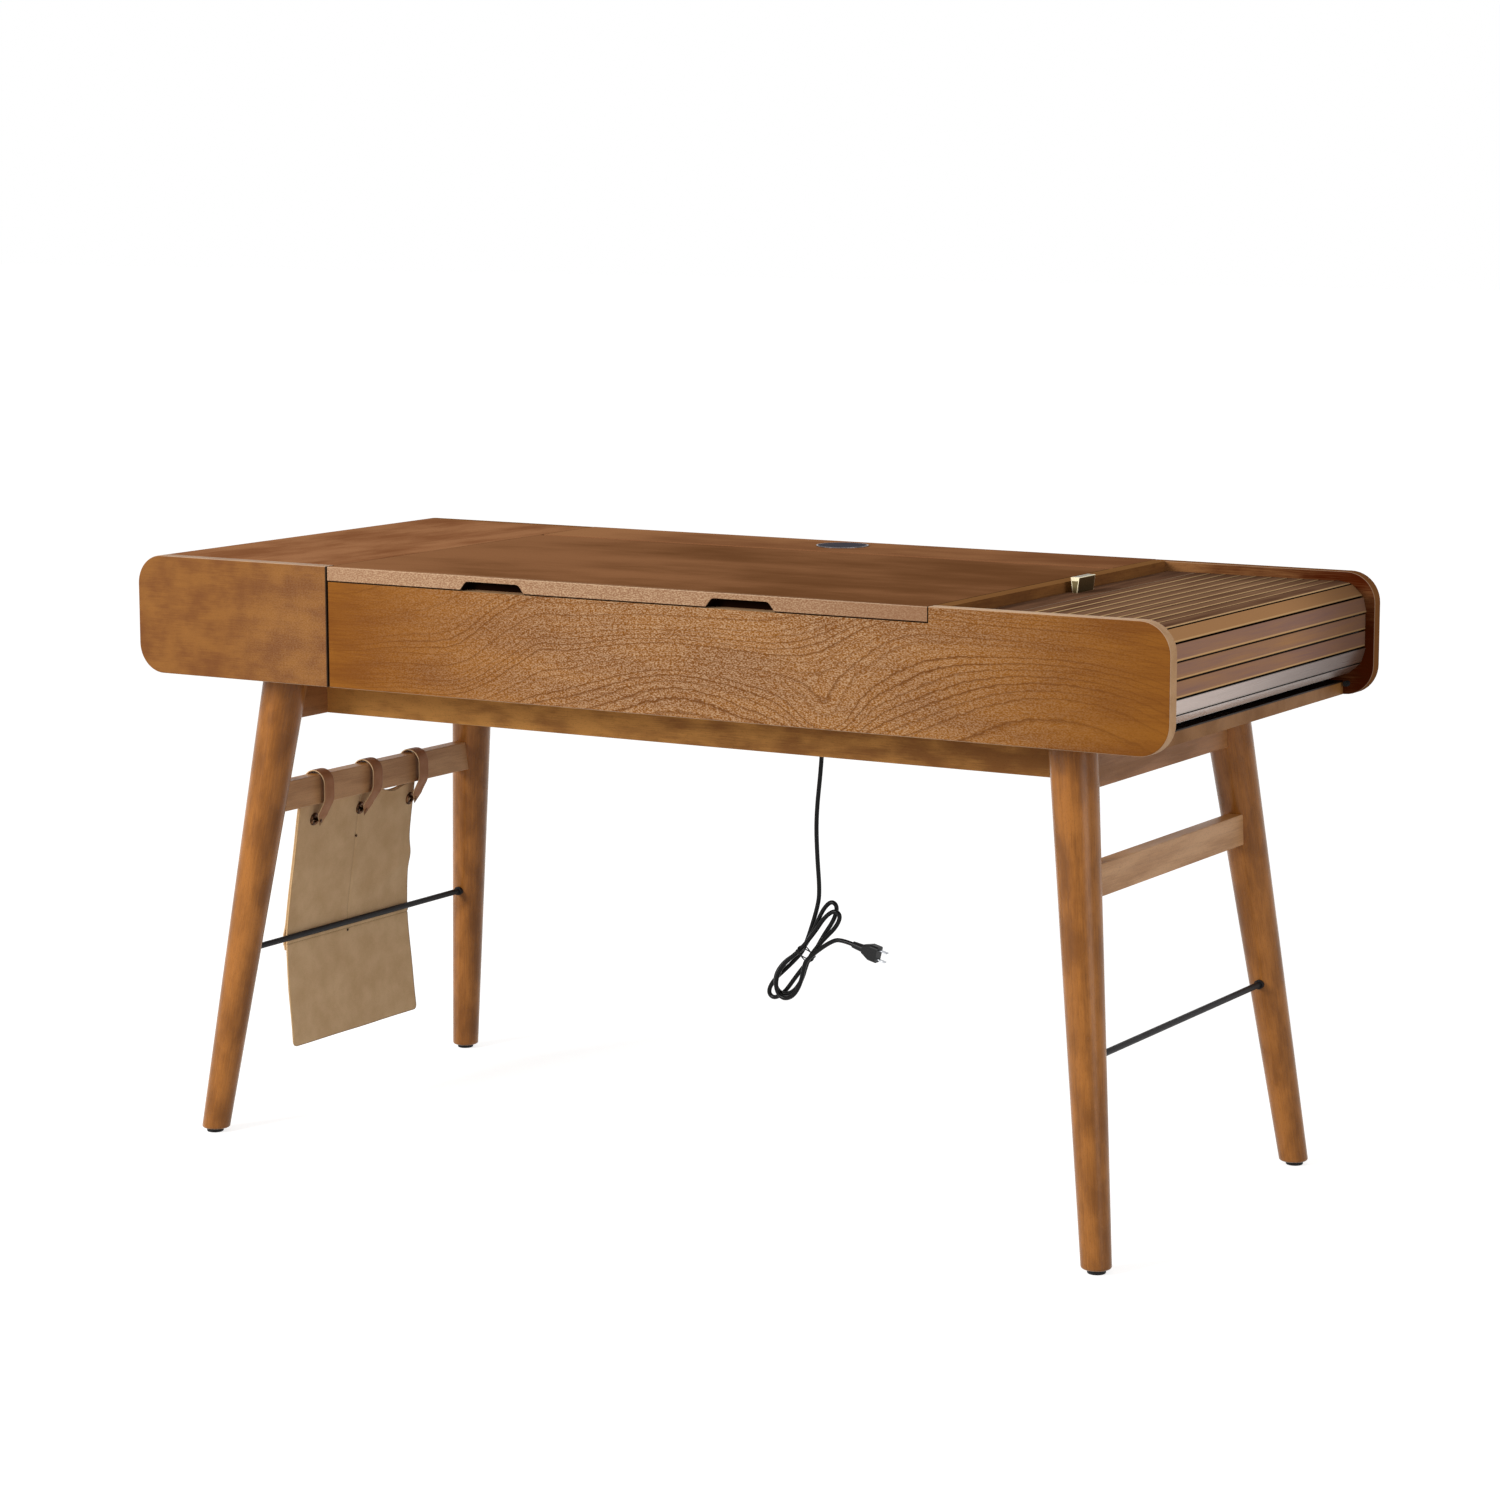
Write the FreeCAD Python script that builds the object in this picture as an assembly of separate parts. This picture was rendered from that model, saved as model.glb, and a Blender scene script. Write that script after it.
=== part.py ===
import FreeCAD, Part
import math
import os

# Writing desk: a rounded wooden case on four splayed legs, with a lift-up lid, a drawer at the
# left, a sliding tambour at the right, a pouch slung from the left stretcher and a power point.
# Frame: origin on the floor under the middle of the case, +X right, +Y to the back, +Z up.
# All sizes are in millimetres.

Vector = FreeCAD.Vector

# Fits shared by many pieces
GLUE_GAP = 0.1          # glue line where a fixed piece meets a curved one
REST_GAP = 0.3          # between a moving piece and the face it rests on
RUN_GAP = 0.05          # radial clearance of a pivot pin in its bush

# Case
WIDTH = 1470.0
DEPTH = 610.0
HEIGHT = 760.0          # floor to the top of the case
CASE_HEIGHT = 153.0
BOARD_THICK = 18.0      # front and back boards, drawer front
PANEL_THICK = 17.0      # left end shell and bottom board
CASE_CORNER = 38.0      # outer radius of the rounded ends
SECTION_WIDTH = 305.0   # drawer section at the left, tambour section at the right
DIVIDER_THICK = 20.0
SEAM = 3.0              # open seam round the lid and beside the drawer front
BOTTOM_INSET = 2.0      # bottom board ends this far before the rounded corner

# Lid and the strip behind it
LID_THICK = 19.0        # lid and rear strip
STRIP_DEPTH = 125.5     # fixed strip behind the lid
STRIP_GAP = 1.5
FINGER_X = 177.5        # middle of each finger cut-out
FINGER_FOOT = 97.0      # its width at the lid's underside
FINGER_HEAD = 78.0
FINGER_HEIGHT = 12.0
FINGER_DEPTH = 16.5
FINGER_ROUND = 8.0
EDGE_ROUND = 1.5
PIN_RADIUS = 3.0
PIN_IN_LID = 18.0
BUSH_RADIUS = 5.0
BUSH_LENGTH = 12.0
BAY_PANEL_THICK = 12.0
BAY_PANEL_SETBACK = 1.0  # behind the strip's front edge

# Drawer
RUNNER_SPACE = 13.0     # room for one runner beside the drawer box
RUNNER_END_GAP = 27.7   # runners end before the drawer's back
RUNNER_HEIGHT = 45.0
RUNNER_SHEET = 1.2
RUNNER_SETBACK = 12.0   # behind the front edge of the case sides
RUNNER_PLAY = 0.35
DRAWER_SIDE = 12.0
DRAWER_BACK_GAP = 34.0  # between the drawer's back and the back board
DRAWER_FLOOR_GAP = 8.0  # under the drawer box
DRAWER_HEIGHT = 98.0
DRAWER_BOTTOM = 6.0
DRAWER_BOTTOM_RAISE = 10.0
DRAWER_GROOVE = 5.0
GRIP_WIDTH = 110.0      # finger recess under the drawer front
GRIP_DEPTH = 24.0
GRIP_ROUND = 10.0

# Tambour
TAMBOUR_DROP = 12.0     # slats lie this far inside the top and end of the boards
TAMBOUR_FOOT = 25.0     # lower run above the case's underside
TAMBOUR_CORNER = 36.0   # radius of the slats' outer face at the corners
SLAT_PITCH = 21.0
SLAT_GAP = 0.8
SLAT_THICK = 9.0
SLAT_TAPER = 2.5        # each side draws in by this at the back, so that the slats can bend round
SLAT_CHAMFER = 0.8
SLAT_COUNT = 18
TOP_SLATS = 9           # slats of the flat top run that shift with the lead rail
SLAT_END_GAP = 0.5
TONGUE_LENGTH = 5.0
TONGUE_WIDTH = 12.0
TONGUE_OUT = 2.5        # tongue's outer face under the slat's face
TONGUE_THICK = 4.0
GROOVE_PLAY = 0.8
GROOVE_DEPTH = 6.0
GROOVE_END = 180.0      # length of the lower run of the groove
CLOTH_THICK = 0.5
LEAD_GAP = 4.0          # between the right divider and the lead rail
LEAD_WIDTH = 39.5
LEAD_THICK = 16.0
LEAD_ROUND = 3.0
FLOOR_THICK = 9.0
FLOOR_LIFT = 4.0        # compartment floor above the slats' lower run
INNER_END_THICK = 9.0
INNER_END_DROP = 19.0   # top of the inner end under the slats' face
PEG_RADIUS = 3.5
PEG_LENGTH = 7.0
PEG_INSET = 34.0        # from the end of the case
PEG_HEIGHT = 14.0       # above the case's underside

# Brass pull of the tambour
PULL_Y = 22.0
PULL_LENGTH = 44.0
PULL_HEIGHT = 19.0
PULL_HEAD = 11.4
PULL_FOOT = 6.4
PULL_ROUND = 0.6
PULL_INSET = 11.3       # its middle from the lead rail's left edge
PULL_SCREW_RADIUS = 1.5
PULL_SCREW_HEAD = 3.5
PULL_SCREW_HEAD_HEIGHT = 2.5
PULL_SCREW_SPACING = 26.0
PULL_SCREW_BITE = 9.0

# Legs and under-frame
LEG_INSET_X = 166.0     # middle of a leg's top from the end of the case
LEG_INSET_Y = 95.0      # and from its front or back
LEG_SPLAY = 75.0        # sideways and lengthways, over the height of the legs
LEG_TOP_RADIUS = 29.0
LEG_FOOT_RADIUS = 18.0
LEG_FOOT_ROUND = 3.0
GLIDE_RADIUS = 11.0
GLIDE_HEIGHT = 5.5
GLIDE_ROUND = 1.5
APRON_HEIGHT = 63.0
APRON_THICK = 22.0
CROSS_APRON_Y = 134.0   # outer face of each cross apron
STRETCHER_TOP = 459.0
STRETCHER_HEIGHT = 39.0
STRETCHER_THICK = 20.0
ROD_HEIGHT = 240.0
ROD_RADIUS = 4.0
ROD_BITE = 12.0         # depth of a rod's end in its leg
FERRULE_RADIUS = 6.0
FERRULE_LENGTH = 5.0

# Pouch
STRAP_WIDTH = 19.0
STRAP_THICK = 2.5
STRAP_TIP = 10.0        # width at the riveted end
STRAP_DROP = 27.0       # straight part of each strap under its turning axis
STRAP_LAP = 7.0         # strap below and above its stud
STRAP_ROUND = 3.8       # bend of the strap's middle above the stud
STRAP_YS = (-126.0, -22.0, 85.0)
AXIS_DROP = 13.0        # turning axis of the straps under the stretcher's top
POUCH_TOP = 412.0
POUCH_BOTTOM = 92.0
POUCH_TOP_OUT = 3.0     # panel's inner face outside the stretcher's middle, at the top
POUCH_FOOT_OUT = 17.5   # and at the bottom
POUCH_BEND = 300.0      # bend radius where the panel lies on the rod
POUCH_SHEET = 2.0
POUCH_YS_TOP = (-157.0, 100.0)
POUCH_YS_ROD = (-157.0, 114.0)
POUCH_YS_FOOT = (-160.0, 118.0)
POUCH_ROUND = 14.0
POCKET_FOOT = 222.0
POCKET_BULGE = 13.0
POCKET_FULLNESS = (1.0, 1.0, 0.8, 0.6, 0.3, 0.05)  # share of the bulge, from mouth to foot
POCKET_FLAT = 9.0       # half the sewn flat beside each stud
EYELET_DROP = 12.0      # studs and eyelets under the panel's top edge
EYELET_RADIUS = 7.0
EYELET_THICK = 1.2
STUD_RADIUS = 2.0
STUD_HEAD_RADIUS = 4.0
STUD_HEAD = 1.2

# Power point and its lead
PUCK_SETBACK = 56.0     # middle of the power point from the back of the desk
PUCK_RADIUS = 34.5
PUCK_RIM = 1.6
PUCK_RIM_HEIGHT = 1.2
PUCK_BARREL_RADIUS = 31.0
PUCK_BARREL_WALL = 2.5
PUCK_DEPTH = 44.0
PUCK_CAP_THICK = 3.0
CORD_RADIUS = 3.0
CORD_SETBACK = 105.0    # middle of the cord bush from the back of the desk
ARC_SHARE = 0.45        # share of the shorter run that each arc of a cord takes up
BAY_RUN_SHARE = 0.3     # upright share of the lead in the cable bay, at each end
BUSH_FLANGE_RADIUS = 11.0
BUSH_FLANGE = 3.0
BUSH_BARREL_RADIUS = 8.0
RELIEF_LENGTH = 28.0
RELIEF_TOP_RADIUS = 7.0
RELIEF_TIP_RADIUS = 4.5
HANK_SHIFT = -22.0      # middle of the hank beside the cord bush
HANK_DROP = 388.0       # and under the case
HANK_TILT = 52.0
HANK_LENGTH = 150.0
HANK_TURNS = 3          # passes through the lower bend
HANK_WAIST = 9.0        # half the width of the tied waist
HANK_STEP = 6.8
HANK_FAN_LOW = 5.2      # sideways shift from one lower bend to the next
HANK_FAN_HIGH = 6.5     # and from one upper bend to the next
HANK_LEAN = 1.3
HANK_SPREAD = 4.0       # difference in reach from one loop to the next
TIE_WIDTH = 9.0
TIE_THICK = 1.2
TIE_GAP = 0.5
PLUG_RELIEF = 16.0
PLUG_LENGTH = 24.0
PLUG_WIDTH = 22.0
PLUG_THICK = 15.0
PLUG_NECK = 11.0
BLADE_LENGTH = 12.0
BLADE_WIDTH = 6.3
BLADE_THICK = 1.5
BLADE_SPACING = 12.7

# Places worked out from the sizes above
CASE_BOTTOM = HEIGHT - CASE_HEIGHT
END_X = WIDTH / 2
SECTION_X = END_X - SECTION_WIDTH
LEG_TOP_X = END_X - LEG_INSET_X
LEG_TOP_Y = DEPTH / 2 - LEG_INSET_Y
FRONT_Y = -DEPTH / 2
INNER_Y = DEPTH / 2 - BOARD_THICK
LID_UNDER = HEIGHT - LID_THICK
FLOOR_TOP = CASE_BOTTOM + PANEL_THICK
LID_END_X = SECTION_X - SEAM / 2
STRIP_FRONT = DEPTH / 2 - STRIP_DEPTH
LID_BACK = STRIP_FRONT - STRIP_GAP
LID_AXIS_Y = LID_BACK - LID_THICK / 2
LID_AXIS_Z = HEIGHT - LID_THICK / 2
PUCK_Y = DEPTH / 2 - PUCK_SETBACK
CORD_Y = DEPTH / 2 - CORD_SETBACK
SLAT_TOP = HEIGHT - TAMBOUR_DROP
SLAT_END = END_X - TAMBOUR_DROP
SLAT_FOOT = CASE_BOTTOM + TAMBOUR_FOOT
LEAD_LEFT = SECTION_X + DIVIDER_THICK + LEAD_GAP
LEAD_RIGHT = LEAD_LEFT + LEAD_WIDTH
BOTTOM_RIGHT = END_X - CASE_CORNER - BOTTOM_INSET


def box(x0, x1, y0, y1, z0, z1):
    return Part.makeBox(x1 - x0, y1 - y0, z1 - z0, Vector(x0, y0, z0))


def cylinder(radius, start, end):
    run = end - start
    return Part.makeCylinder(radius, run.Length, start, run)


def unit(vector):
    return vector * (1 / vector.Length)


def fillet_at(before, corner, after, radius):
    """Start, middle and end of the arc that rounds a corner, tangent to both sides."""
    back = unit(before - corner)
    ahead = unit(after - corner)
    half = back.getAngle(ahead) / 2
    tangent = radius / math.tan(half)
    middle = unit(back + ahead) * (radius / math.sin(half) - radius)
    return corner + back * tangent, corner + middle, corner + ahead * tangent


def rounded_edges(points, radii, closed):
    """Lines through points in order, with a tangent arc at each point that has a radius."""
    count = len(points)
    stops = []
    for index, (corner, radius) in enumerate(zip(points, radii)):
        inner = closed or 0 < index < count - 1
        if radius > 0 and inner:
            before = points[index - 1]
            after = points[(index + 1) % count]
            stops.append(fillet_at(before, corner, after, radius))
        else:
            stops.append((corner,))
    edges = []
    for index, stop in enumerate(stops):
        if len(stop) == 3:
            edges.append(Part.Arc(*stop).toShape())
        if closed or index < count - 1:
            leave = stop[-1]
            reach = stops[(index + 1) % count][0]
            if (reach - leave).Length > 1e-6:
                edges.append(Part.LineSegment(leave, reach).toShape())
    return edges


def plate_xz(corners, y0, y1):
    """Flat plate between two Y places, from (x, z, radius) corners."""
    points = [Vector(x, y0, z) for x, z, radius in corners]
    radii = [radius for x, z, radius in corners]
    wire = Part.Wire(rounded_edges(points, radii, True))
    return Part.Face(wire).extrude(Vector(0, y1 - y0, 0))


def shifted(corners, shift):
    """An open path of (x, z, radius) corners moved sideways to its left."""
    moved = []
    for index, (x, z, radius) in enumerate(corners):
        here = Vector(x, 0, z)
        last = index == len(corners) - 1
        behind = Vector(corners[index - 1][0], 0, corners[index - 1][1]) if index else None
        ahead = None if last else Vector(corners[index + 1][0], 0, corners[index + 1][1])
        come = unit(here - behind) if behind else unit(ahead - here)
        leave = come if last else unit(ahead - here)
        side = Vector(-come.z - leave.z, 0, come.x + leave.x)
        here = here + side * (shift / (1 + come.dot(leave)))
        left_turn = come.x * leave.z - come.z * leave.x > 0
        change = -shift if left_turn else shift
        moved.append((here.x, here.z, radius + change if radius else 0.0))
    return moved


def ribbon_xz(corners, low, high, y0, y1):
    """Band along an open path, between two sideways shifts, from one Y place to another."""
    return plate_xz(shifted(corners, low) + shifted(corners, high)[::-1], y0, y1)


def rounded_case(x0, x1, left, right):
    """Corners of the case's outline, rounded at the ends that are asked for."""
    left_round = CASE_CORNER if left else 0.0
    right_round = CASE_CORNER if right else 0.0
    return [
        (x0, CASE_BOTTOM, left_round),
        (x1, CASE_BOTTOM, right_round),
        (x1, HEIGHT, right_round),
        (x0, HEIGHT, left_round),
    ]


def eased_face(plate, y, from_x):
    """Plate with the edges of its face at y rounded, those that start right of from_x."""
    rim = []
    for edge in plate.Edges:
        in_face = abs(edge.CenterOfMass.y - y) < GLUE_GAP
        if in_face and edge.CenterOfMass.x > from_x:
            rim.append(edge)
    return plate.makeFillet(EDGE_ROUND, rim)


def eased_rail(x0, x1, y0, y1, z0, z1, along):
    """Bar with its four long edges rounded."""
    bar = box(x0, x1, y0, y1, z0, z1)
    edges = [edge for edge in bar.Edges if abs(edge.tangentAt(edge.FirstParameter).dot(along)) > 0.5]
    return bar.makeFillet(EDGE_ROUND, edges)


def mirrored_y(shape):
    return shape.mirror(Vector(0, 0, 0), Vector(0, 1, 0))


def mirrored_x(shape):
    return shape.mirror(Vector(0, 0, 0), Vector(1, 0, 0))


parts = {}


# Legs: turned cones, splayed both ways and cut level at the case and above the glide
def leg_axis_at(z):
    """Centre of the front right leg at a height."""
    fall = (CASE_BOTTOM - z) / CASE_BOTTOM
    return Vector(LEG_TOP_X + LEG_SPLAY * fall, -LEG_TOP_Y - LEG_SPLAY * fall, z)


def leg_radius_at(z):
    fall = (CASE_BOTTOM - z) / CASE_BOTTOM
    return LEG_TOP_RADIUS + (LEG_FOOT_RADIUS - LEG_TOP_RADIUS) * fall


def leg_cone(grow):
    """The front right leg's cone, past both its ends."""
    over = LEG_TOP_RADIUS
    low = leg_axis_at(-over)
    high = leg_axis_at(CASE_BOTTOM + over)
    run = high - low
    foot = leg_radius_at(-over) + grow
    head = leg_radius_at(CASE_BOTTOM + over) + grow
    return Part.makeCone(foot, head, run.Length, low, run)


def rod_end_y():
    axis = leg_axis_at(ROD_HEIGHT)
    return -axis.y - leg_radius_at(ROD_HEIGHT) + ROD_BITE


reach = LEG_TOP_X + LEG_SPLAY + 2 * LEG_TOP_RADIUS
leg_slab = box(0, reach, -reach, 0, GLIDE_HEIGHT, CASE_BOTTOM)
leg = leg_cone(0).common(leg_slab).Solids[0]
foot_edges = [edge for edge in leg.Edges if edge.BoundBox.ZMax < GLIDE_HEIGHT + GLUE_GAP]
leg = leg.makeFillet(LEG_FOOT_ROUND, foot_edges)
rod_x = leg_axis_at(ROD_HEIGHT).x
rod_from = Vector(rod_x, -rod_end_y(), ROD_HEIGHT)
rod_to = Vector(rod_x, rod_end_y(), ROD_HEIGHT)
leg_bore = cylinder(ROD_RADIUS + GLUE_GAP, rod_from - Vector(0, GLUE_GAP, 0), rod_to)
front_right_leg = leg.cut(leg_bore)
parts["leg_front_right"] = front_right_leg
parts["leg_back_right"] = mirrored_y(front_right_leg)
parts["leg_front_left"] = mirrored_x(front_right_leg)
parts["leg_back_left"] = mirrored_x(mirrored_y(front_right_leg))

# Glides: nylon buttons under the legs
glide_at = leg_axis_at(0)
glide = Part.makeCylinder(GLIDE_RADIUS, GLIDE_HEIGHT, glide_at)
glide_rim = [edge for edge in glide.Edges if edge.BoundBox.ZMax < GLUE_GAP]
glide = glide.makeFillet(GLIDE_ROUND, glide_rim)
glides = [glide, mirrored_y(glide), mirrored_x(glide), mirrored_x(mirrored_y(glide))]
parts["leg_glides"] = Part.makeCompound(glides)

# Aprons: rails under the case, scribed to the round legs
legs_right = [leg_cone(GLUE_GAP), mirrored_y(leg_cone(GLUE_GAP))]
apron_low = CASE_BOTTOM - APRON_HEIGHT
apron_x = leg_axis_at(CASE_BOTTOM - APRON_HEIGHT / 2).x
apron_y = -leg_axis_at(CASE_BOTTOM).y


def between_legs(rail):
    """The middle piece of a side rail after the legs are cut out of it."""
    pieces = rail.cut(legs_right[0]).cut(legs_right[1]).Solids
    return min(pieces, key=lambda piece: abs(piece.CenterOfMass.y))


side_apron = between_legs(
    eased_rail(apron_x - APRON_THICK / 2, apron_x + APRON_THICK / 2, -apron_y, apron_y,
               apron_low, CASE_BOTTOM, Vector(0, 1, 0)))
parts["side_apron_right"] = side_apron
parts["side_apron_left"] = mirrored_x(side_apron)
cross_end = apron_x - APRON_THICK / 2
cross_apron = eased_rail(-cross_end, cross_end, -CROSS_APRON_Y, -CROSS_APRON_Y + APRON_THICK,
                         apron_low, CASE_BOTTOM, Vector(1, 0, 0))
parts["cross_apron_front"] = cross_apron
parts["cross_apron_back"] = mirrored_y(cross_apron)

# Stretchers: a rail between the legs on each side
stretcher_low = STRETCHER_TOP - STRETCHER_HEIGHT
stretcher_axis = leg_axis_at(STRETCHER_TOP - STRETCHER_HEIGHT / 2)
stretcher_x = stretcher_axis.x
stretcher = between_legs(
    eased_rail(stretcher_x - STRETCHER_THICK / 2, stretcher_x + STRETCHER_THICK / 2,
               stretcher_axis.y, -stretcher_axis.y, stretcher_low, STRETCHER_TOP, Vector(0, 1, 0)))
parts["stretcher_right"] = stretcher
parts["stretcher_left"] = mirrored_x(stretcher)

# Rods: blackened bars let into the legs, with a ferrule at each end
rod = cylinder(ROD_RADIUS, rod_from, rod_to)
parts["rod_right"] = rod
parts["rod_left"] = mirrored_x(rod)
ferrule_y = rod_end_y() - ROD_BITE - FERRULE_LENGTH
ferrule_from = Vector(rod_x, -ferrule_y, ROD_HEIGHT)
ferrule = cylinder(FERRULE_RADIUS, ferrule_from, rod_from)
ferrule = ferrule.cut(cylinder(ROD_RADIUS + GLUE_GAP, rod_from, rod_to)).cut(legs_right[0])
ferrule = max(ferrule.Solids, key=lambda piece: piece.CenterOfMass.y)
ferrules = [ferrule, mirrored_y(ferrule), mirrored_x(ferrule), mirrored_x(mirrored_y(ferrule))]
parts["rod_ferrules"] = Part.makeCompound(ferrules)

# Tambour track: the slats' outer face runs along this path, from the lead rail round the end
track_end = SLAT_END - TAMBOUR_CORNER - GROOVE_END
track = [
    (LEAD_LEFT - LEAD_GAP + GROOVE_PLAY, SLAT_TOP, 0.0),
    (SLAT_END, SLAT_TOP, TAMBOUR_CORNER),
    (SLAT_END, SLAT_FOOT, TAMBOUR_CORNER),
    (track_end, SLAT_FOOT, 0.0),
]
groove_high = GROOVE_PLAY - TONGUE_OUT
groove_low = -TONGUE_OUT - TONGUE_THICK - GROOVE_PLAY
groove = ribbon_xz(track, groove_low, groove_high, INNER_Y, INNER_Y + GROOVE_DEPTH)
peg_at = Vector(END_X - PEG_INSET, INNER_Y, CASE_BOTTOM + PEG_HEIGHT)
peg_bite = Vector(0, BOARD_THICK / 2, 0)
peg_hole = cylinder(PEG_RADIUS + GLUE_GAP, peg_at, peg_at + peg_bite)

# Front board: notched for the lid's front edge, grooved for the tambour
front_left = -SECTION_X + SEAM / 2
front_board = plate_xz(rounded_case(front_left, END_X, False, True), FRONT_Y, -INNER_Y)
front_board = eased_face(front_board, FRONT_Y, -END_X)
front_board = eased_face(front_board, -INNER_Y, front_left + EDGE_ROUND)
lid_notch = box(front_left, SECTION_X, FRONT_Y, -INNER_Y, LID_UNDER - REST_GAP, HEIGHT)
front_board = front_board.cut(lid_notch).cut(mirrored_y(groove)).cut(mirrored_y(peg_hole))
parts["front_board"] = front_board

# Back board: the whole outline, notched for the rear strip
back_board = plate_xz(rounded_case(-END_X, END_X, True, True), INNER_Y, DEPTH / 2)
back_board = eased_face(back_board, DEPTH / 2, -WIDTH)
back_board = eased_face(back_board, INNER_Y, -WIDTH)
strip_notch = box(-SECTION_X, SECTION_X, INNER_Y, DEPTH / 2, LID_UNDER, HEIGHT)
back_board = back_board.cut(strip_notch).cut(groove).cut(peg_hole)
parts["back_board"] = back_board

# Left end shell: bent ply round the drawer, with a finger recess under the drawer front
side_front = -INNER_Y + REST_GAP
shell_path = [
    (-SECTION_X, HEIGHT, 0.0),
    (-END_X, HEIGHT, CASE_CORNER),
    (-END_X, CASE_BOTTOM, CASE_CORNER),
    (-SECTION_X, CASE_BOTTOM, 0.0),
]
left_shell = ribbon_xz(shell_path, 0.0, PANEL_THICK, side_front, INNER_Y)
drawer_mid = -(END_X + SECTION_X) / 2
grip_back = side_front + GRIP_DEPTH
grip_points = [
    Vector(drawer_mid - GRIP_WIDTH / 2, side_front, CASE_BOTTOM),
    Vector(drawer_mid + GRIP_WIDTH / 2, side_front, CASE_BOTTOM),
    Vector(drawer_mid + GRIP_WIDTH / 2, grip_back, CASE_BOTTOM),
    Vector(drawer_mid - GRIP_WIDTH / 2, grip_back, CASE_BOTTOM),
]
grip_radii = [0.0, 0.0, GRIP_ROUND, GRIP_ROUND]
grip_wire = Part.Wire(rounded_edges(grip_points, grip_radii, True))
grip = Part.Face(grip_wire).extrude(Vector(0, 0, PANEL_THICK))
bush_from = Vector(-SECTION_X, LID_AXIS_Y, LID_AXIS_Z)
bush_to = bush_from - Vector(BUSH_LENGTH, 0, 0)
bush_hole = cylinder(BUSH_RADIUS + GLUE_GAP, bush_from, bush_to)
parts["left_shell"] = left_shell.cut(grip).cut(bush_hole)

# Bottom board and its cord hole
cord_exit = Vector(0, CORD_Y, CASE_BOTTOM)
bottom_board = box(-SECTION_X, BOTTOM_RIGHT, -INNER_Y, INNER_Y, CASE_BOTTOM, FLOOR_TOP)
cord_hole = cylinder(BUSH_BARREL_RADIUS + GLUE_GAP, cord_exit,
                     cord_exit + Vector(0, 0, PANEL_THICK))
parts["bottom_board"] = bottom_board.cut(cord_hole)

# Dividers: the left one stands under the seam beside the drawer, the right one beside the lid
divider_left = -SECTION_X - DIVIDER_THICK / 2
divider_right = -SECTION_X + DIVIDER_THICK / 2
parts["left_divider"] = box(divider_left, divider_right, side_front, INNER_Y,
                            FLOOR_TOP, LID_UNDER - REST_GAP)
right_divider = box(SECTION_X, SECTION_X + DIVIDER_THICK, -INNER_Y, INNER_Y, FLOOR_TOP, HEIGHT)
parts["right_divider"] = right_divider.cut(mirrored_x(bush_hole))

# Rear strip, with the hole of the power point, and the panel that closes the cable bay under it
puck_at = Vector(0, PUCK_Y, LID_UNDER)
rear_strip = box(-LID_END_X, LID_END_X, STRIP_FRONT, DEPTH / 2, LID_UNDER, HEIGHT)
puck_hole = cylinder(PUCK_BARREL_RADIUS + GLUE_GAP, puck_at, puck_at + Vector(0, 0, LID_THICK))
parts["rear_strip"] = rear_strip.cut(puck_hole)
bay_front = STRIP_FRONT + BAY_PANEL_SETBACK
parts["cable_bay_panel"] = box(divider_right, SECTION_X, bay_front, bay_front + BAY_PANEL_THICK,
                               FLOOR_TOP, LID_UNDER)

# Lid: square front edge, half-round rear edge about its pivots, finger cut-outs underneath
lid_points = [
    Vector(-LID_END_X, FRONT_Y, LID_UNDER),
    Vector(-LID_END_X, LID_AXIS_Y, LID_UNDER),
    Vector(-LID_END_X, LID_BACK, LID_AXIS_Z),
    Vector(-LID_END_X, LID_AXIS_Y, HEIGHT),
    Vector(-LID_END_X, FRONT_Y + EDGE_ROUND, HEIGHT),
    Vector(-LID_END_X, FRONT_Y + EDGE_ROUND * (1 - math.sqrt(0.5)),
           HEIGHT - EDGE_ROUND * (1 - math.sqrt(0.5))),
    Vector(-LID_END_X, FRONT_Y, HEIGHT - EDGE_ROUND),
]
lid_wire = Part.Wire([
    Part.LineSegment(lid_points[0], lid_points[1]).toShape(),
    Part.Arc(lid_points[1], lid_points[2], lid_points[3]).toShape(),
    Part.LineSegment(lid_points[3], lid_points[4]).toShape(),
    Part.Arc(lid_points[4], lid_points[5], lid_points[6]).toShape(),
    Part.LineSegment(lid_points[6], lid_points[0]).toShape(),
])
lid = Part.Face(lid_wire).extrude(Vector(2 * LID_END_X, 0, 0))
for side in (-1, 1):
    middle = side * FINGER_X
    finger_top = LID_UNDER + FINGER_HEIGHT
    finger = plate_xz([
        (middle - FINGER_FOOT / 2, LID_UNDER, 0.0),
        (middle + FINGER_FOOT / 2, LID_UNDER, 0.0),
        (middle + FINGER_HEAD / 2, finger_top, FINGER_ROUND),
        (middle - FINGER_HEAD / 2, finger_top, FINGER_ROUND),
    ], FRONT_Y, FRONT_Y + FINGER_DEPTH)
    lid = lid.cut(finger)
pin_inner = Vector(-LID_END_X + PIN_IN_LID, LID_AXIS_Y, LID_AXIS_Z)
pin_outer = bush_to + Vector(REST_GAP, 0, 0)
pin = cylinder(PIN_RADIUS, pin_inner, pin_outer)
pin_hole = cylinder(PIN_RADIUS + RUN_GAP, pin_inner, pin_outer)
parts["lid"] = lid.cut(pin_hole).cut(mirrored_x(pin_hole))
parts["lid_pivot_pins"] = Part.makeCompound([pin, mirrored_x(pin)])
bush = cylinder(BUSH_RADIUS, bush_from, bush_to).cut(cylinder(PIN_RADIUS + RUN_GAP, bush_from, bush_to))
parts["lid_pivot_bushes"] = Part.makeCompound([bush, mirrored_x(bush)])

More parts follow.
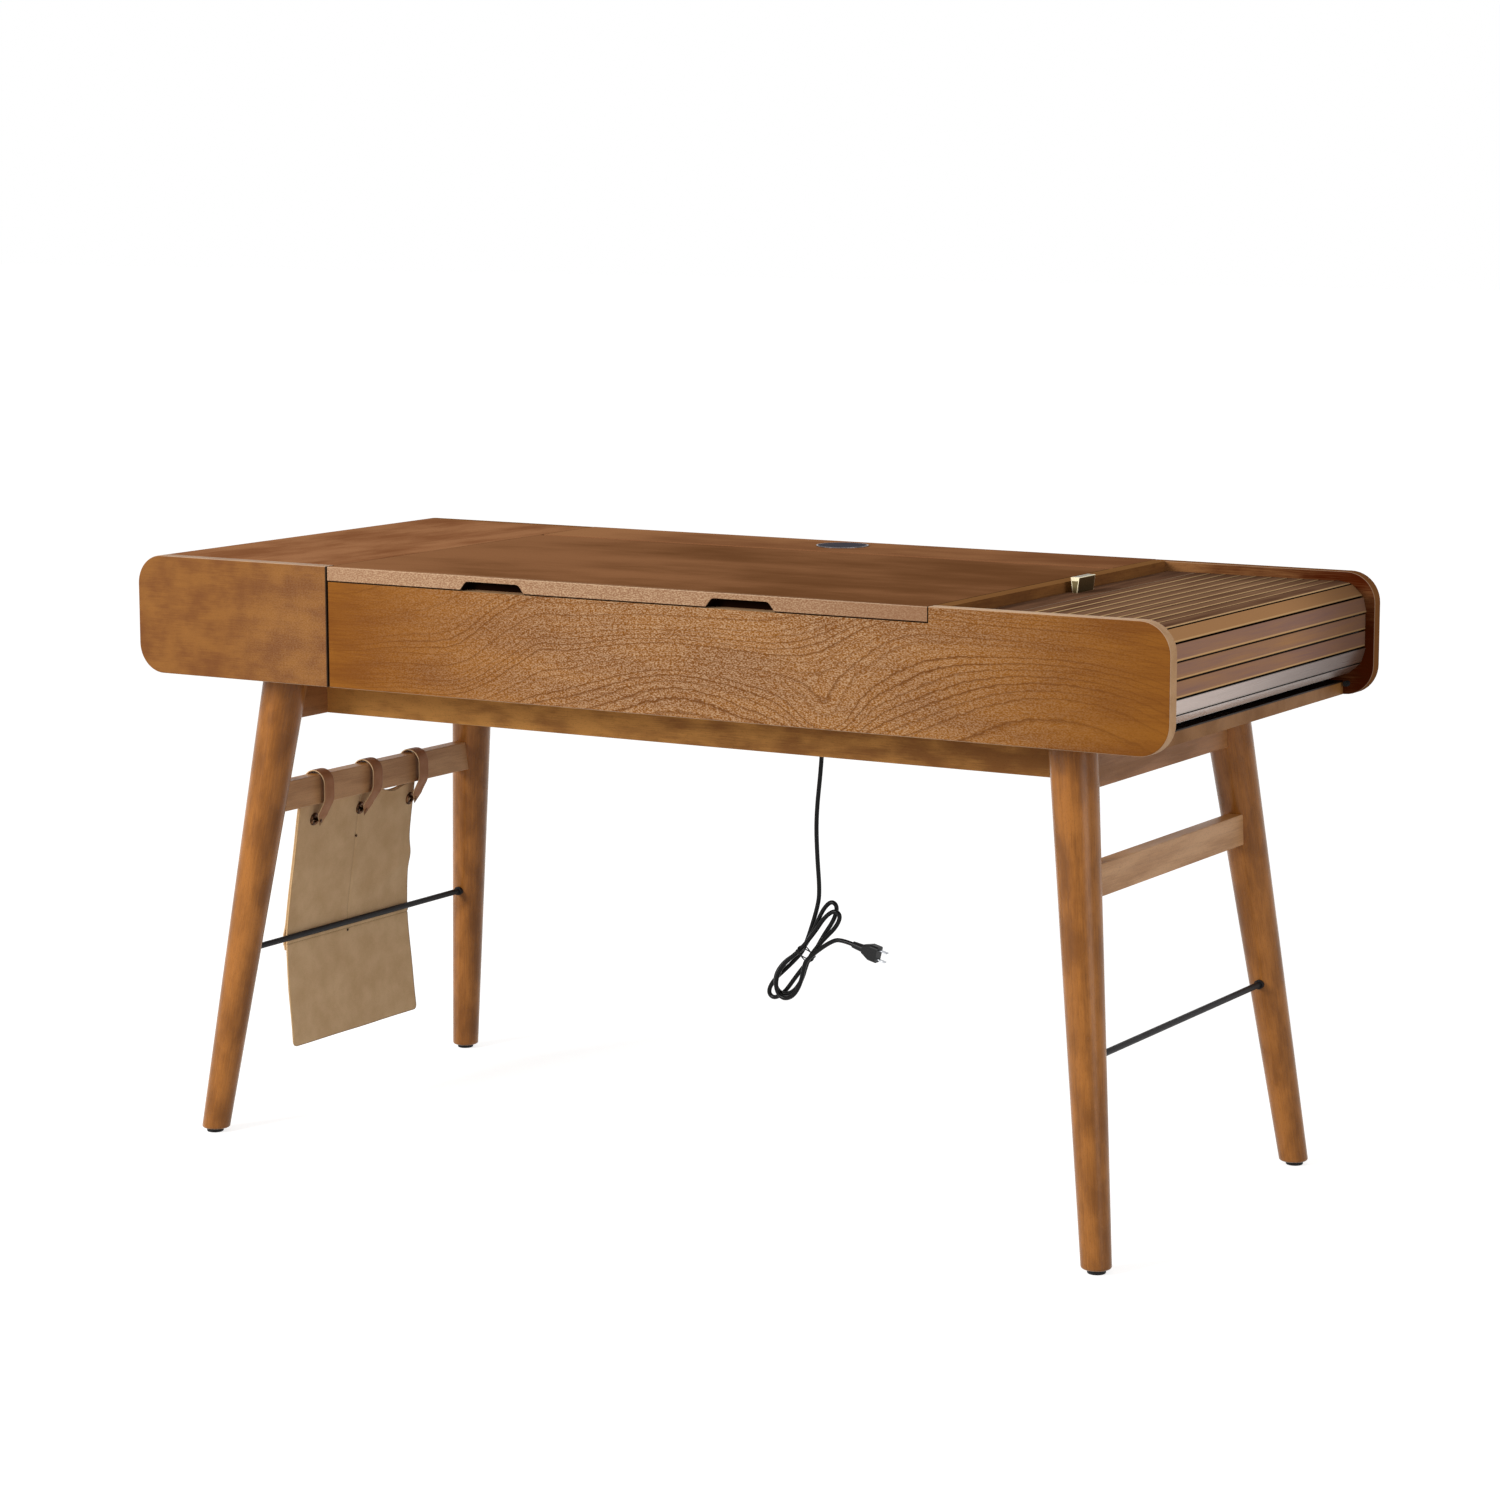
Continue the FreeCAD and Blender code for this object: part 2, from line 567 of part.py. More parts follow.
# Drawer: a rounded front on a box that hangs on side runners
front_right = -SECTION_X - SEAM / 2
drawer_front = plate_xz(rounded_case(-END_X, front_right, True, False), FRONT_Y, -INNER_Y)
parts["drawer_front"] = eased_face(drawer_front, FRONT_Y, -WIDTH)
box_left = -END_X + PANEL_THICK + RUNNER_SPACE
box_right = divider_left - RUNNER_SPACE
box_low = FLOOR_TOP + DRAWER_FLOOR_GAP
box_high = box_low + DRAWER_HEIGHT
box_back = INNER_Y - DRAWER_BACK_GAP
sheet_low = box_low + DRAWER_BOTTOM_RAISE
sheet_high = sheet_low + DRAWER_BOTTOM
groove_left = box_left + DRAWER_SIDE - DRAWER_GROOVE
groove_right = box_right - DRAWER_SIDE + DRAWER_GROOVE
sheet_slot = box(groove_left, groove_right, -INNER_Y, box_back,
                 sheet_low - GLUE_GAP, sheet_high + GLUE_GAP)
drawer_sides = (("drawer_side_left", box_left), ("drawer_side_right", box_right - DRAWER_SIDE))
for name, start in drawer_sides:
    side_board = box(start, start + DRAWER_SIDE, -INNER_Y, box_back, box_low, box_high)
    parts[name] = side_board.cut(sheet_slot)
parts["drawer_back"] = box(box_left + DRAWER_SIDE, box_right - DRAWER_SIDE, box_back - DRAWER_SIDE,
                           box_back, sheet_high, box_high)
parts["drawer_bottom"] = box(groove_left + GLUE_GAP, groove_right - GLUE_GAP, -INNER_Y, box_back,
                             sheet_low, sheet_high)


# Runners: a channel on the case and a channel on the drawer, one inside the other
runner_front = side_front + RUNNER_SETBACK
runner_back = box_back - RUNNER_END_GAP


def channel(wall_x, facing, height):
    """Folded channel with its web on a wall at wall_x and its lips facing +X or -X."""
    lip = RUNNER_SPACE - RUNNER_SHEET - 2 * RUNNER_PLAY
    outside = sorted((wall_x, wall_x + facing * lip))
    inside = sorted((wall_x + facing * RUNNER_SHEET, wall_x + facing * lip))
    low = (box_low + box_high - height) / 2
    whole = box(*outside, runner_front, runner_back, low, low + height)
    return whole.cut(box(*inside, runner_front, runner_back, low + RUNNER_SHEET, low + height - RUNNER_SHEET))


inner_height = RUNNER_HEIGHT - 2 * RUNNER_SHEET - 2 * RUNNER_PLAY
parts["runner_rails"] = Part.makeCompound([
    channel(-END_X + PANEL_THICK, 1, RUNNER_HEIGHT),
    channel(divider_left, -1, RUNNER_HEIGHT),
])
parts["runner_slides"] = Part.makeCompound([
    channel(box_left, -1, inner_height),
    channel(box_right, 1, inner_height),
])


# Tambour slats: bars with bevelled sides on a cloth, their tongues in the grooves of the boards
def along_track(distance):
    """Point on the slats' outer face and its direction, a distance on from the lead rail."""
    top_run = SLAT_END - TAMBOUR_CORNER - LEAD_RIGHT
    arc = TAMBOUR_CORNER * math.pi / 2
    fall = SLAT_TOP - SLAT_FOOT - 2 * TAMBOUR_CORNER
    left = distance - top_run
    if left <= 0:
        return Vector(LEAD_RIGHT + distance, 0, SLAT_TOP), 0.0
    if left <= arc:
        turn = left / TAMBOUR_CORNER
        centre = Vector(SLAT_END - TAMBOUR_CORNER, 0, SLAT_TOP - TAMBOUR_CORNER)
        return centre + Vector(math.sin(turn), 0, math.cos(turn)) * TAMBOUR_CORNER, turn
    left -= arc
    if left <= fall:
        return Vector(SLAT_END, 0, SLAT_TOP - TAMBOUR_CORNER - left), math.pi / 2
    left -= fall
    if left <= arc:
        turn = math.pi / 2 + left / TAMBOUR_CORNER
        centre = Vector(SLAT_END - TAMBOUR_CORNER, 0, SLAT_FOOT + TAMBOUR_CORNER)
        return centre + Vector(math.sin(turn), 0, math.cos(turn)) * TAMBOUR_CORNER, turn
    left -= arc
    return Vector(SLAT_END - TAMBOUR_CORNER - left, 0, SLAT_FOOT), math.pi


def in_track(point, turn, along, out):
    """A place beside a point of the track: so far along it and so far outwards."""
    ahead = Vector(math.cos(turn), 0, -math.sin(turn))
    outwards = Vector(math.sin(turn), 0, math.cos(turn))
    return point + ahead * along + outwards * out


def slat(index):
    point, turn = along_track((index + 0.5) * SLAT_PITCH)
    half = (SLAT_PITCH - SLAT_GAP) / 2
    profile = [
        (-half + SLAT_TAPER, -SLAT_THICK),
        (half - SLAT_TAPER, -SLAT_THICK),
        (half, -SLAT_CHAMFER),
        (half - SLAT_CHAMFER, 0.0),
        (-half + SLAT_CHAMFER, 0.0),
        (-half, -SLAT_CHAMFER),
    ]
    tongue_low = -TONGUE_OUT - TONGUE_THICK
    tongue_half = TONGUE_WIDTH / 2
    tongue = [
        (-tongue_half, tongue_low),
        (tongue_half, tongue_low),
        (tongue_half, -TONGUE_OUT),
        (-tongue_half, -TONGUE_OUT),
    ]
    bodies = []
    for outline, end in ((profile, INNER_Y - SLAT_END_GAP), (tongue, INNER_Y + TONGUE_LENGTH)):
        places = [in_track(point, turn, along, out) for along, out in outline]
        bodies.append(plate_xz([(place.x, place.z, 0.0) for place in places], -end, end))
    return bodies[0].fuse(bodies[1]).removeSplitter()


def cloth(first, last):
    """Backing cloth under a row of slats: flat under each and creased between them."""
    edges = []
    for depth in (SLAT_THICK, SLAT_THICK + CLOTH_THICK):
        line = []
        for index in range(first, last):
            point, turn = along_track((index + 0.5) * SLAT_PITCH)
            bend_before = turn - along_track((max(index - 1, first) + 0.5) * SLAT_PITCH)[1]
            bend_after = along_track((min(index + 1, last - 1) + 0.5) * SLAT_PITCH)[1] - turn
            half = SLAT_PITCH / 2
            back = -half + depth * math.tan(bend_before / 2)
            ahead = half - depth * math.tan(bend_after / 2)
            ends = [in_track(point, turn, along, -depth) for along in (back, ahead)]
            line.extend((place.x, place.z, 0.0) for place in ends)
        edges.append(line)
    return edges[0], edges[1]


def cloth_solid(first, last):
    inner, outer = cloth(first, last)
    half = INNER_Y - SLAT_END_GAP
    strips = []
    for index in range(0, len(inner), 2):
        strips.append(plate_xz([inner[index], inner[index + 1], outer[index + 1], outer[index]],
                               -half, half))
    whole = strips[0]
    for index, strip in enumerate(strips[1:]):
        last_inner = inner[2 * index + 1]
        next_inner = inner[2 * index + 2]
        next_outer = outer[2 * index + 2]
        last_outer = outer[2 * index + 1]
        crease = math.dist(last_inner[:2], next_inner[:2])
        if crease > GLUE_GAP:
            joint = plate_xz([last_inner, next_inner, next_outer, last_outer], -half, half)
            whole = whole.fuse(joint)
        whole = whole.fuse(strip)
    return whole.removeSplitter()


parts["tambour_top_slats"] = Part.makeCompound([slat(index) for index in range(TOP_SLATS)])
parts["tambour_end_slats"] = Part.makeCompound([slat(index) for index in range(TOP_SLATS, SLAT_COUNT)])
parts["tambour_top_cloth"] = cloth_solid(0, TOP_SLATS)
parts["tambour_end_cloth"] = cloth_solid(TOP_SLATS, SLAT_COUNT)

# Lead rail, its brass pull and the screws that hold it from below
pull_x = LEAD_LEFT + PULL_INSET
lead_half = INNER_Y - SLAT_END_GAP
lead_rail = plate_xz([
    (LEAD_LEFT, SLAT_TOP - LEAD_THICK, LEAD_ROUND),
    (LEAD_RIGHT - SLAT_TAPER, SLAT_TOP - LEAD_THICK, LEAD_ROUND),
    (LEAD_RIGHT - SLAT_GAP / 2, SLAT_TOP, SLAT_CHAMFER),
    (LEAD_LEFT, SLAT_TOP, SLAT_CHAMFER),
], -lead_half, lead_half)
tongue_end = INNER_Y + TONGUE_LENGTH
lead_tongue = box(LEAD_LEFT + LEAD_ROUND, LEAD_RIGHT - LEAD_ROUND, -tongue_end, tongue_end,
                  SLAT_TOP - TONGUE_OUT - TONGUE_THICK, SLAT_TOP - TONGUE_OUT)
lead_rail = lead_rail.fuse(lead_tongue).removeSplitter()
pull = plate_xz([
    (pull_x - PULL_FOOT / 2, SLAT_TOP, 0.0),
    (pull_x + PULL_FOOT / 2, SLAT_TOP, 0.0),
    (pull_x + PULL_HEAD / 2, SLAT_TOP + PULL_HEIGHT, PULL_ROUND),
    (pull_x - PULL_HEAD / 2, SLAT_TOP + PULL_HEIGHT, PULL_ROUND),
], PULL_Y - PULL_LENGTH / 2, PULL_Y + PULL_LENGTH / 2)
screws = []
for offset in (-PULL_SCREW_SPACING / 2, PULL_SCREW_SPACING / 2):
    head_low = Vector(pull_x, PULL_Y + offset, SLAT_TOP - LEAD_THICK)
    head_high = head_low + Vector(0, 0, PULL_SCREW_HEAD_HEIGHT)
    tip = Vector(pull_x, PULL_Y + offset, SLAT_TOP + PULL_SCREW_BITE)
    head = cylinder(PULL_SCREW_HEAD, head_low, head_high)
    screws.append(head.fuse(cylinder(PULL_SCREW_RADIUS, head_high, tip)).removeSplitter())
    counterbore = cylinder(PULL_SCREW_HEAD + GLUE_GAP, head_low, head_high + Vector(0, 0, GLUE_GAP))
    shank_hole = cylinder(PULL_SCREW_RADIUS + GLUE_GAP, head_low, tip + Vector(0, 0, GLUE_GAP))
    lead_rail = lead_rail.cut(counterbore).cut(shank_hole)
    pull = pull.cut(shank_hole)
parts["tambour_lead_rail"] = lead_rail
parts["tambour_pull"] = pull
parts["tambour_pull_screws"] = Part.makeCompound(screws)

# Compartment under the tambour: a floor over the lower run and an end inside the slats
floor_low = SLAT_FOOT + SLAT_THICK + FLOOR_LIFT
floor_high = floor_low + FLOOR_THICK
inner_end_x = SLAT_END - TAMBOUR_CORNER
parts["tambour_floor"] = box(SECTION_X + DIVIDER_THICK, inner_end_x, -INNER_Y, INNER_Y,
                             floor_low, floor_high)
parts["tambour_inner_end"] = box(inner_end_x, inner_end_x + INNER_END_THICK, -INNER_Y, INNER_Y,
                                 floor_low, SLAT_TOP - INNER_END_DROP)
peg = cylinder(PEG_RADIUS, peg_at - Vector(0, PEG_LENGTH, 0), peg_at + peg_bite)
parts["tambour_stop_pegs"] = Part.makeCompound([peg, mirrored_y(peg)])

# Pouch: its main panel hangs from the left stretcher and lies on the outside of the rod
axis_x = -stretcher_x
axis_z = STRETCHER_TOP - AXIS_DROP
panel_top = Vector(axis_x - POUCH_TOP_OUT, 0, POUCH_TOP)
panel_foot = Vector(axis_x - POUCH_FOOT_OUT, 0, POUCH_BOTTOM)
rod_middle = Vector(-rod_x, 0, ROD_HEIGHT)


def knee_over_rod(settling):
    """Corner of the panel's inner face whose bend passes the rod at the resting gap, and half its turn."""
    knee = rod_middle
    for _ in range(settling):
        above = unit(panel_top - knee)
        below = unit(panel_foot - knee)
        half = (math.pi - above.getAngle(below)) / 2
        over = POUCH_BEND * (1 / math.cos(half) - 1)
        knee = rod_middle - unit(above + below) * (ROD_RADIUS + REST_GAP + over)
    return knee, half


panel_knee, half_bend = knee_over_rod(10)
panel_path = [
    (panel_top.x, panel_top.z, 0.0),
    (panel_knee.x, panel_knee.z, POUCH_BEND),
    (panel_foot.x, panel_foot.z, 0.0),
]


def pouch_outline(low):
    """Prism through the panel, with the pouch's slanting edges and rounded lower corners."""
    x = panel_knee.x - 4 * POCKET_BULGE
    points = [
        Vector(x, POUCH_YS_TOP[0], POUCH_TOP),
        Vector(x, POUCH_YS_ROD[0], ROD_HEIGHT),
        Vector(x, POUCH_YS_FOOT[0], low),
        Vector(x, POUCH_YS_FOOT[1], low),
        Vector(x, POUCH_YS_ROD[1], ROD_HEIGHT),
        Vector(x, POUCH_YS_TOP[1], POUCH_TOP),
    ]
    radii = [0.0, POUCH_BEND, POUCH_ROUND, POUCH_ROUND, POUCH_BEND, 0.0]
    wire = Part.Wire(rounded_edges(points, radii, True))
    return Part.Face(wire).extrude(Vector(axis_x - x + POCKET_BULGE, 0, 0))


panel_y0 = min(POUCH_YS_TOP[0], POUCH_YS_ROD[0], POUCH_YS_FOOT[0])
panel_y1 = max(POUCH_YS_TOP[1], POUCH_YS_ROD[1], POUCH_YS_FOOT[1])
panel = ribbon_xz(panel_path, -POUCH_SHEET, 0.0, panel_y0, panel_y1)
panel = panel.common(pouch_outline(POUCH_BOTTOM)).Solids[0]

# Pocket layer: sewn flat at its edges, under the studs and along its foot, bulged between the studs
panel_down = unit(panel_knee - panel_top)
panel_out = Vector(panel_down.z, 0, -panel_down.x)
bend_reach = POUCH_BEND * math.tan(half_bend)
bend_start = panel_knee - panel_down * bend_reach
bend_middle = bend_start - panel_out * POUCH_BEND


def panel_x_at(z):
    """X of the main panel's outer face at a height, on its straight part or on its bend."""
    start = panel_top + panel_out * POUCH_SHEET
    if z >= bend_start.z:
        return start.x + (z - start.z) * panel_down.x / panel_down.z
    radius = POUCH_BEND + POUCH_SHEET
    return bend_middle.x - math.sqrt(radius ** 2 - (z - bend_middle.z) ** 2)


def pocket_section(z, bulge):
    """Closed outline of the pocket layer at one height: flats with two bows between them."""
    share = (POUCH_TOP - z) / (POUCH_TOP - ROD_HEIGHT)
    edge0 = POUCH_YS_TOP[0] + (POUCH_YS_ROD[0] - POUCH_YS_TOP[0]) * share
    edge1 = POUCH_YS_TOP[1] + (POUCH_YS_ROD[1] - POUCH_YS_TOP[1]) * share
    near = panel_x_at(z) - REST_GAP
    stops = [edge0]
    for strap_y in STRAP_YS:
        stops.extend((strap_y - POCKET_FLAT, strap_y + POCKET_FLAT))
    stops.append(edge1)
    edges = []
    for x, order in ((near, 1), (near - POUCH_SHEET, -1)):
        row = list(zip(stops, stops[1:]))[::order]
        for y0, y1 in row:
            start = Vector(x, y0 if order > 0 else y1, z)
            end = Vector(x, y1 if order > 0 else y0, z)
            bowed = y0 in stops[2:-2:2] and y1 in stops[3:-2:2]
            if bowed:
                middle = (start + end) * 0.5 - Vector(bulge, 0, 0)
                edges.append(Part.Arc(start, middle, end).toShape())
            else:
                edges.append(Part.LineSegment(start, end).toShape())
        turn = edge1 if order > 0 else edge0
        far = near - POUCH_SHEET if order > 0 else near
        edges.append(Part.LineSegment(Vector(x, turn, z), Vector(far, turn, z)).toShape())
    return Part.Wire(edges)


pocket_levels = [
    POUCH_TOP,
    (POUCH_TOP + bend_start.z) / 2,
    bend_start.z,
    (bend_start.z + ROD_HEIGHT) / 2,
    ROD_HEIGHT,
    POCKET_FOOT,
]
pocket_wires = []
for level, fullness in zip(pocket_levels, POCKET_FULLNESS):
    pocket_wires.append(pocket_section(level, POCKET_BULGE * fullness))
pocket = Part.makeLoft(pocket_wires, True, True)

# Straps over the stretcher, riveted through the panel and the pocket layer
strap_inner = math.hypot(STRETCHER_THICK / 2, AXIS_DROP) + REST_GAP
panel_stack = 2 * POUCH_SHEET + REST_GAP
stud_middle = panel_top + panel_down * EYELET_DROP
face_off = EYELET_THICK + STRAP_THICK / 2
inner_tip = stud_middle - panel_out * face_off
outer_tip = stud_middle + panel_out * (panel_stack + GLUE_GAP + STRAP_THICK / 2)
strap_mid = strap_inner + STRAP_THICK / 2
strap_path = [
    outer_tip + panel_down * STRAP_LAP,
    outer_tip - panel_down * STRAP_LAP,
    Vector(axis_x - strap_mid, 0, axis_z - STRAP_DROP),
    Vector(axis_x - strap_mid, 0, axis_z + strap_mid),
    Vector(axis_x + strap_mid, 0, axis_z + strap_mid),
    Vector(axis_x + strap_mid, 0, axis_z - STRAP_DROP),
    inner_tip - panel_down * STRAP_LAP,
    inner_tip + panel_down * STRAP_LAP,
]
strap_arch = strap_mid - GLUE_GAP
strap_radii = [0.0, STRAP_ROUND, STRAP_ROUND, strap_arch, strap_arch, STRAP_ROUND, STRAP_ROUND, 0.0]
strap_corners = [(point.x, point.z, radius) for point, radius in zip(strap_path, strap_radii)]
eyelets = []
straps = []
studs = []
for strap_y in STRAP_YS:
    across = Vector(0, strap_y, 0)
    stud_at = stud_middle + across
    strap = ribbon_xz(strap_corners, -STRAP_THICK / 2, STRAP_THICK / 2,
                      strap_y - STRAP_WIDTH / 2, strap_y + STRAP_WIDTH / 2)
    for side in (-1, 1):
        wide = strap_y + side * STRAP_WIDTH / 2
        tip_y = strap_y + side * STRAP_TIP / 2
        x0 = axis_x - 3 * strap_mid
        trim_low = axis_z - STRAP_DROP - POUCH_TOP
        trim = Part.Face(Part.makePolygon([
            Vector(x0, wide, axis_z - STRAP_DROP),
            Vector(x0, tip_y, stud_at.z),
            Vector(x0, tip_y, stud_at.z - trim_low - 2 * STRAP_LAP),
            Vector(x0, wide, stud_at.z - trim_low - 2 * STRAP_LAP),
            Vector(x0, wide, axis_z - STRAP_DROP),
        ])).extrude(Vector(6 * strap_mid, 0, 0))
        strap = strap.cut(trim)
    inside = stud_at - panel_out * (EYELET_THICK + STRAP_THICK)
    outside = stud_at + panel_out * (panel_stack + GLUE_GAP + STRAP_THICK)
    stud_hole = cylinder(STUD_RADIUS + GLUE_GAP, inside, outside)
    shank = cylinder(STUD_RADIUS, inside - panel_out * STUD_HEAD, outside + panel_out * STUD_HEAD)
    inner_head = cylinder(STUD_HEAD_RADIUS, inside - panel_out * STUD_HEAD, inside)
    outer_head = cylinder(STUD_HEAD_RADIUS, outside, outside + panel_out * STUD_HEAD)
    studs.append(shank.fuse(inner_head).fuse(outer_head).removeSplitter())
    ring = cylinder(EYELET_RADIUS, stud_at - panel_out * EYELET_THICK, stud_at)
    eyelets.append(ring.cut(stud_hole))
    straps.append(strap.cut(stud_hole))
    panel = panel.cut(stud_hole)
    pocket = pocket.cut(stud_hole)
parts["pouch_main_panel"] = panel
parts["pouch_pocket"] = pocket
parts["pouch_eyelets"] = Part.makeCompound(eyelets)
parts["pouch_straps"] = Part.makeCompound(straps)
parts["pouch_studs"] = Part.makeCompound(studs)

# Power point: a flat ring and cap over a cup that hangs in the strip
puck_top = Vector(0, PUCK_Y, HEIGHT)
up = Vector(0, 0, 1)
cap_radius = PUCK_RADIUS - PUCK_RIM
ring = cylinder(PUCK_RADIUS, puck_top, puck_top + up * PUCK_RIM_HEIGHT)
ring = ring.cut(cylinder(cap_radius, puck_top, puck_top + up * PUCK_RIM_HEIGHT))
collar = cylinder(PUCK_BARREL_RADIUS, puck_at, puck_top + up * PUCK_RIM_HEIGHT)
collar = collar.cut(cylinder(PUCK_BARREL_RADIUS - PUCK_BARREL_WALL, puck_at, puck_top + up * PUCK_RIM_HEIGHT))
flange = cylinder(PUCK_RADIUS, puck_top, puck_top + up * (PUCK_RIM_HEIGHT / 2))
flange = flange.cut(cylinder(PUCK_BARREL_RADIUS - PUCK_BARREL_WALL, puck_top, puck_top + up * PUCK_RIM_HEIGHT))
cap_low = puck_top + up * (PUCK_RIM_HEIGHT / 2 + GLUE_GAP)
cap_seat = cylinder(cap_radius, cap_low, puck_top + up * (2 * PUCK_RIM_HEIGHT))
parts["power_ring"] = ring.fuse(collar).fuse(flange).cut(cap_seat).removeSplitter()
cap_plug_radius = PUCK_BARREL_RADIUS - PUCK_BARREL_WALL - GLUE_GAP
cap = cylinder(cap_radius - GLUE_GAP, cap_low, puck_top + up * (PUCK_RIM_HEIGHT + GLUE_GAP))
cap = cap.fuse(cylinder(cap_plug_radius, puck_top - up * PUCK_CAP_THICK, cap_low))
parts["power_cap"] = cap.removeSplitter()
body_top = puck_top - up * (PUCK_CAP_THICK + GLUE_GAP)
body_low = puck_top - up * PUCK_DEPTH
parts["power_body"] = cylinder(cap_plug_radius, body_low, body_top)

# Cord bush in the bottom board, with a tapered strain relief below it
bush_low = cord_exit - up * BUSH_FLANGE
bush_high = cord_exit + up * PANEL_THICK
cord_bush = cylinder(BUSH_BARREL_RADIUS, cord_exit, bush_high)
cord_bush = cord_bush.fuse(cylinder(BUSH_FLANGE_RADIUS, bush_low, cord_exit))
relief = Part.makeCone(RELIEF_TOP_RADIUS, RELIEF_TIP_RADIUS, RELIEF_LENGTH, bush_low, -up)
parts["cord_bush"] = cord_bush.fuse(relief).removeSplitter()


# Cords: round tubes on straight runs with tangent arcs
def cord_path(points):
    """Edges of a route and its arc radii: a share of the shorter run over the tangent of half the turn."""
    radii = [0.0]
    for before, corner, after in zip(points, points[1:], points[2:]):
        shorter = min((corner - before).Length, (after - corner).Length)
        half_turn = (corner - before).getAngle(after - corner) / 2
        radii.append(ARC_SHARE * shorter / math.tan(half_turn))
    radii.append(0.0)
    return rounded_edges(points, radii, False), radii


def cord_tube(name, edges, start, heading, fixed_frame):
    """Round tube along joined edges, checked against its section times its length."""
    wire = Part.Wire(edges)
    circle = Part.Wire(Part.makeCircle(CORD_RADIUS, start, heading))
    tube = wire.makePipeShell([circle], True, fixed_frame)
    expected = math.pi * CORD_RADIUS ** 2 * wire.Length
    print(name, "length", round(wire.Length, 1), "volume ratio", round(tube.Volume / expected, 4))
    return tube


def route_tube(name, points):
    edges, radii = cord_path(points)
    print(name, "radii", [round(radius) for radius in radii[1:-1]])
    return cord_tube(name, edges, points[0], points[1] - points[0], False)


inner_y = PUCK_Y - cap_plug_radius / 2
bay_points = [
    Vector(0, inner_y, body_low.z),
    Vector(0, inner_y, body_low.z - BAY_RUN_SHARE * (body_low.z - FLOOR_TOP)),
    Vector(0, CORD_Y, FLOOR_TOP + BAY_RUN_SHARE * (body_low.z - FLOOR_TOP)),
    Vector(0, CORD_Y, FLOOR_TOP),
]
parts["cord_inner"] = route_tube("cord_inner", bay_points)

# Free cord, from the strain relief down to the hank: points chosen by eye, from the bush's seat
drop_points = [
    bush_low - up * RELIEF_LENGTH,
    cord_exit + Vector(0.0, 0.0, -71.0),
    cord_exit + Vector(-3.5, 0.8, -133.0),
    cord_exit + Vector(-11.5, 0.3, -203.0),
    cord_exit + Vector(-9.0, -0.6, -257.0),
    cord_exit + Vector(-5.5, -0.2, -299.0),
    cord_exit + Vector(-7.5, 0.0, -321.0),
]
parts["cord_drop"] = route_tube("cord_drop", drop_points)

# Hank: the cord goes round in long loops that are drawn in at a tied waist
tilt = math.radians(HANK_TILT)
hank_middle = cord_exit + Vector(HANK_SHIFT, 0, -HANK_DROP)
hank_along = Vector(math.cos(tilt), 0, math.sin(tilt))
hank_across = Vector(-math.sin(tilt), 0, math.cos(tilt))
hank_towards = Vector(0, -1, 0)


def in_hank(along, across, towards):
    return hank_middle + hank_along * along + hank_across * across + hank_towards * towards


hank_start = drop_points[-1]
hank_heading = unit(drop_points[-1] - drop_points[-2])
stub_points = [
    cord_exit + Vector(26.0, -20.5, -362.5),
    cord_exit + Vector(42.0, -20.7, -361.0),
    cord_exit + Vector(58.0, -21.0, -365.0),
]
stub_heading = unit(stub_points[1] - stub_points[0])
climb = 0.5 * HANK_STEP / (HANK_LENGTH / 2)
stations = [(hank_start + hank_heading * (2 * CORD_RADIUS), hank_heading)]
for turn in range(HANK_TURNS):
    level = turn * HANK_STEP
    last = turn == HANK_TURNS - 1
    stations.append((in_hank(0, HANK_WAIST, level), -hank_along))
    low_tip = -HANK_LENGTH / 2 + HANK_SPREAD * (turn - 1)
    stations.append((in_hank(low_tip, HANK_FAN_LOW * (1 - turn), level), -hank_across))
    rise = HANK_STEP if last else HANK_STEP / 2
    heading = unit(hank_along + hank_towards * climb)
    stations.append((in_hank(0, -HANK_WAIST, level + rise), heading))
    if not last:
        high_tip = HANK_LENGTH / 2 - HANK_SPREAD * (turn - 0.5)
        high_shift = HANK_FAN_HIGH * (1 - turn) + HANK_LEAN
        stations.append((in_hank(high_tip, high_shift, level + HANK_STEP), hank_across))
stations.append((stub_points[0] - stub_heading * (2 * CORD_RADIUS), stub_heading))


def biarc(start, leave, end, arrive):
    """Two arcs that meet smoothly: their corner points lie equally far along both headings."""
    gap = end - start
    total = leave + arrive
    spare = 2 * (1 - leave.dot(arrive))
    lean = gap.dot(total)
    reach = (-lean + math.sqrt(lean * lean + spare * gap.dot(gap))) / spare
    first = start + leave * reach
    second = end - arrive * reach
    meeting = (first + second) * 0.5
    arcs = []
    for corner, near, far in ((first, start, meeting), (second, meeting, end)):
        half = (near - corner).getAngle(far - corner) / 2
        radius = reach * math.tan(half)
        middle = fillet_at(near, corner, far, radius)[1]
        arcs.append((Part.Arc(near, middle, far).toShape(), radius))
    return arcs


hank_edges = [Part.LineSegment(hank_start, stations[0][0]).toShape()]
hank_radii = []
for (start, leave), (end, arrive) in zip(stations, stations[1:]):
    for edge, radius in biarc(start, leave, end, arrive):
        hank_edges.append(edge)
        hank_radii.append(radius)
hank_edges.append(Part.LineSegment(stations[-1][0], stub_points[0]).toShape())
print("cord_hank least radius", round(min(hank_radii), 1))
parts["cord_hank"] = cord_tube("cord_hank", hank_edges, hank_start, hank_heading, False)


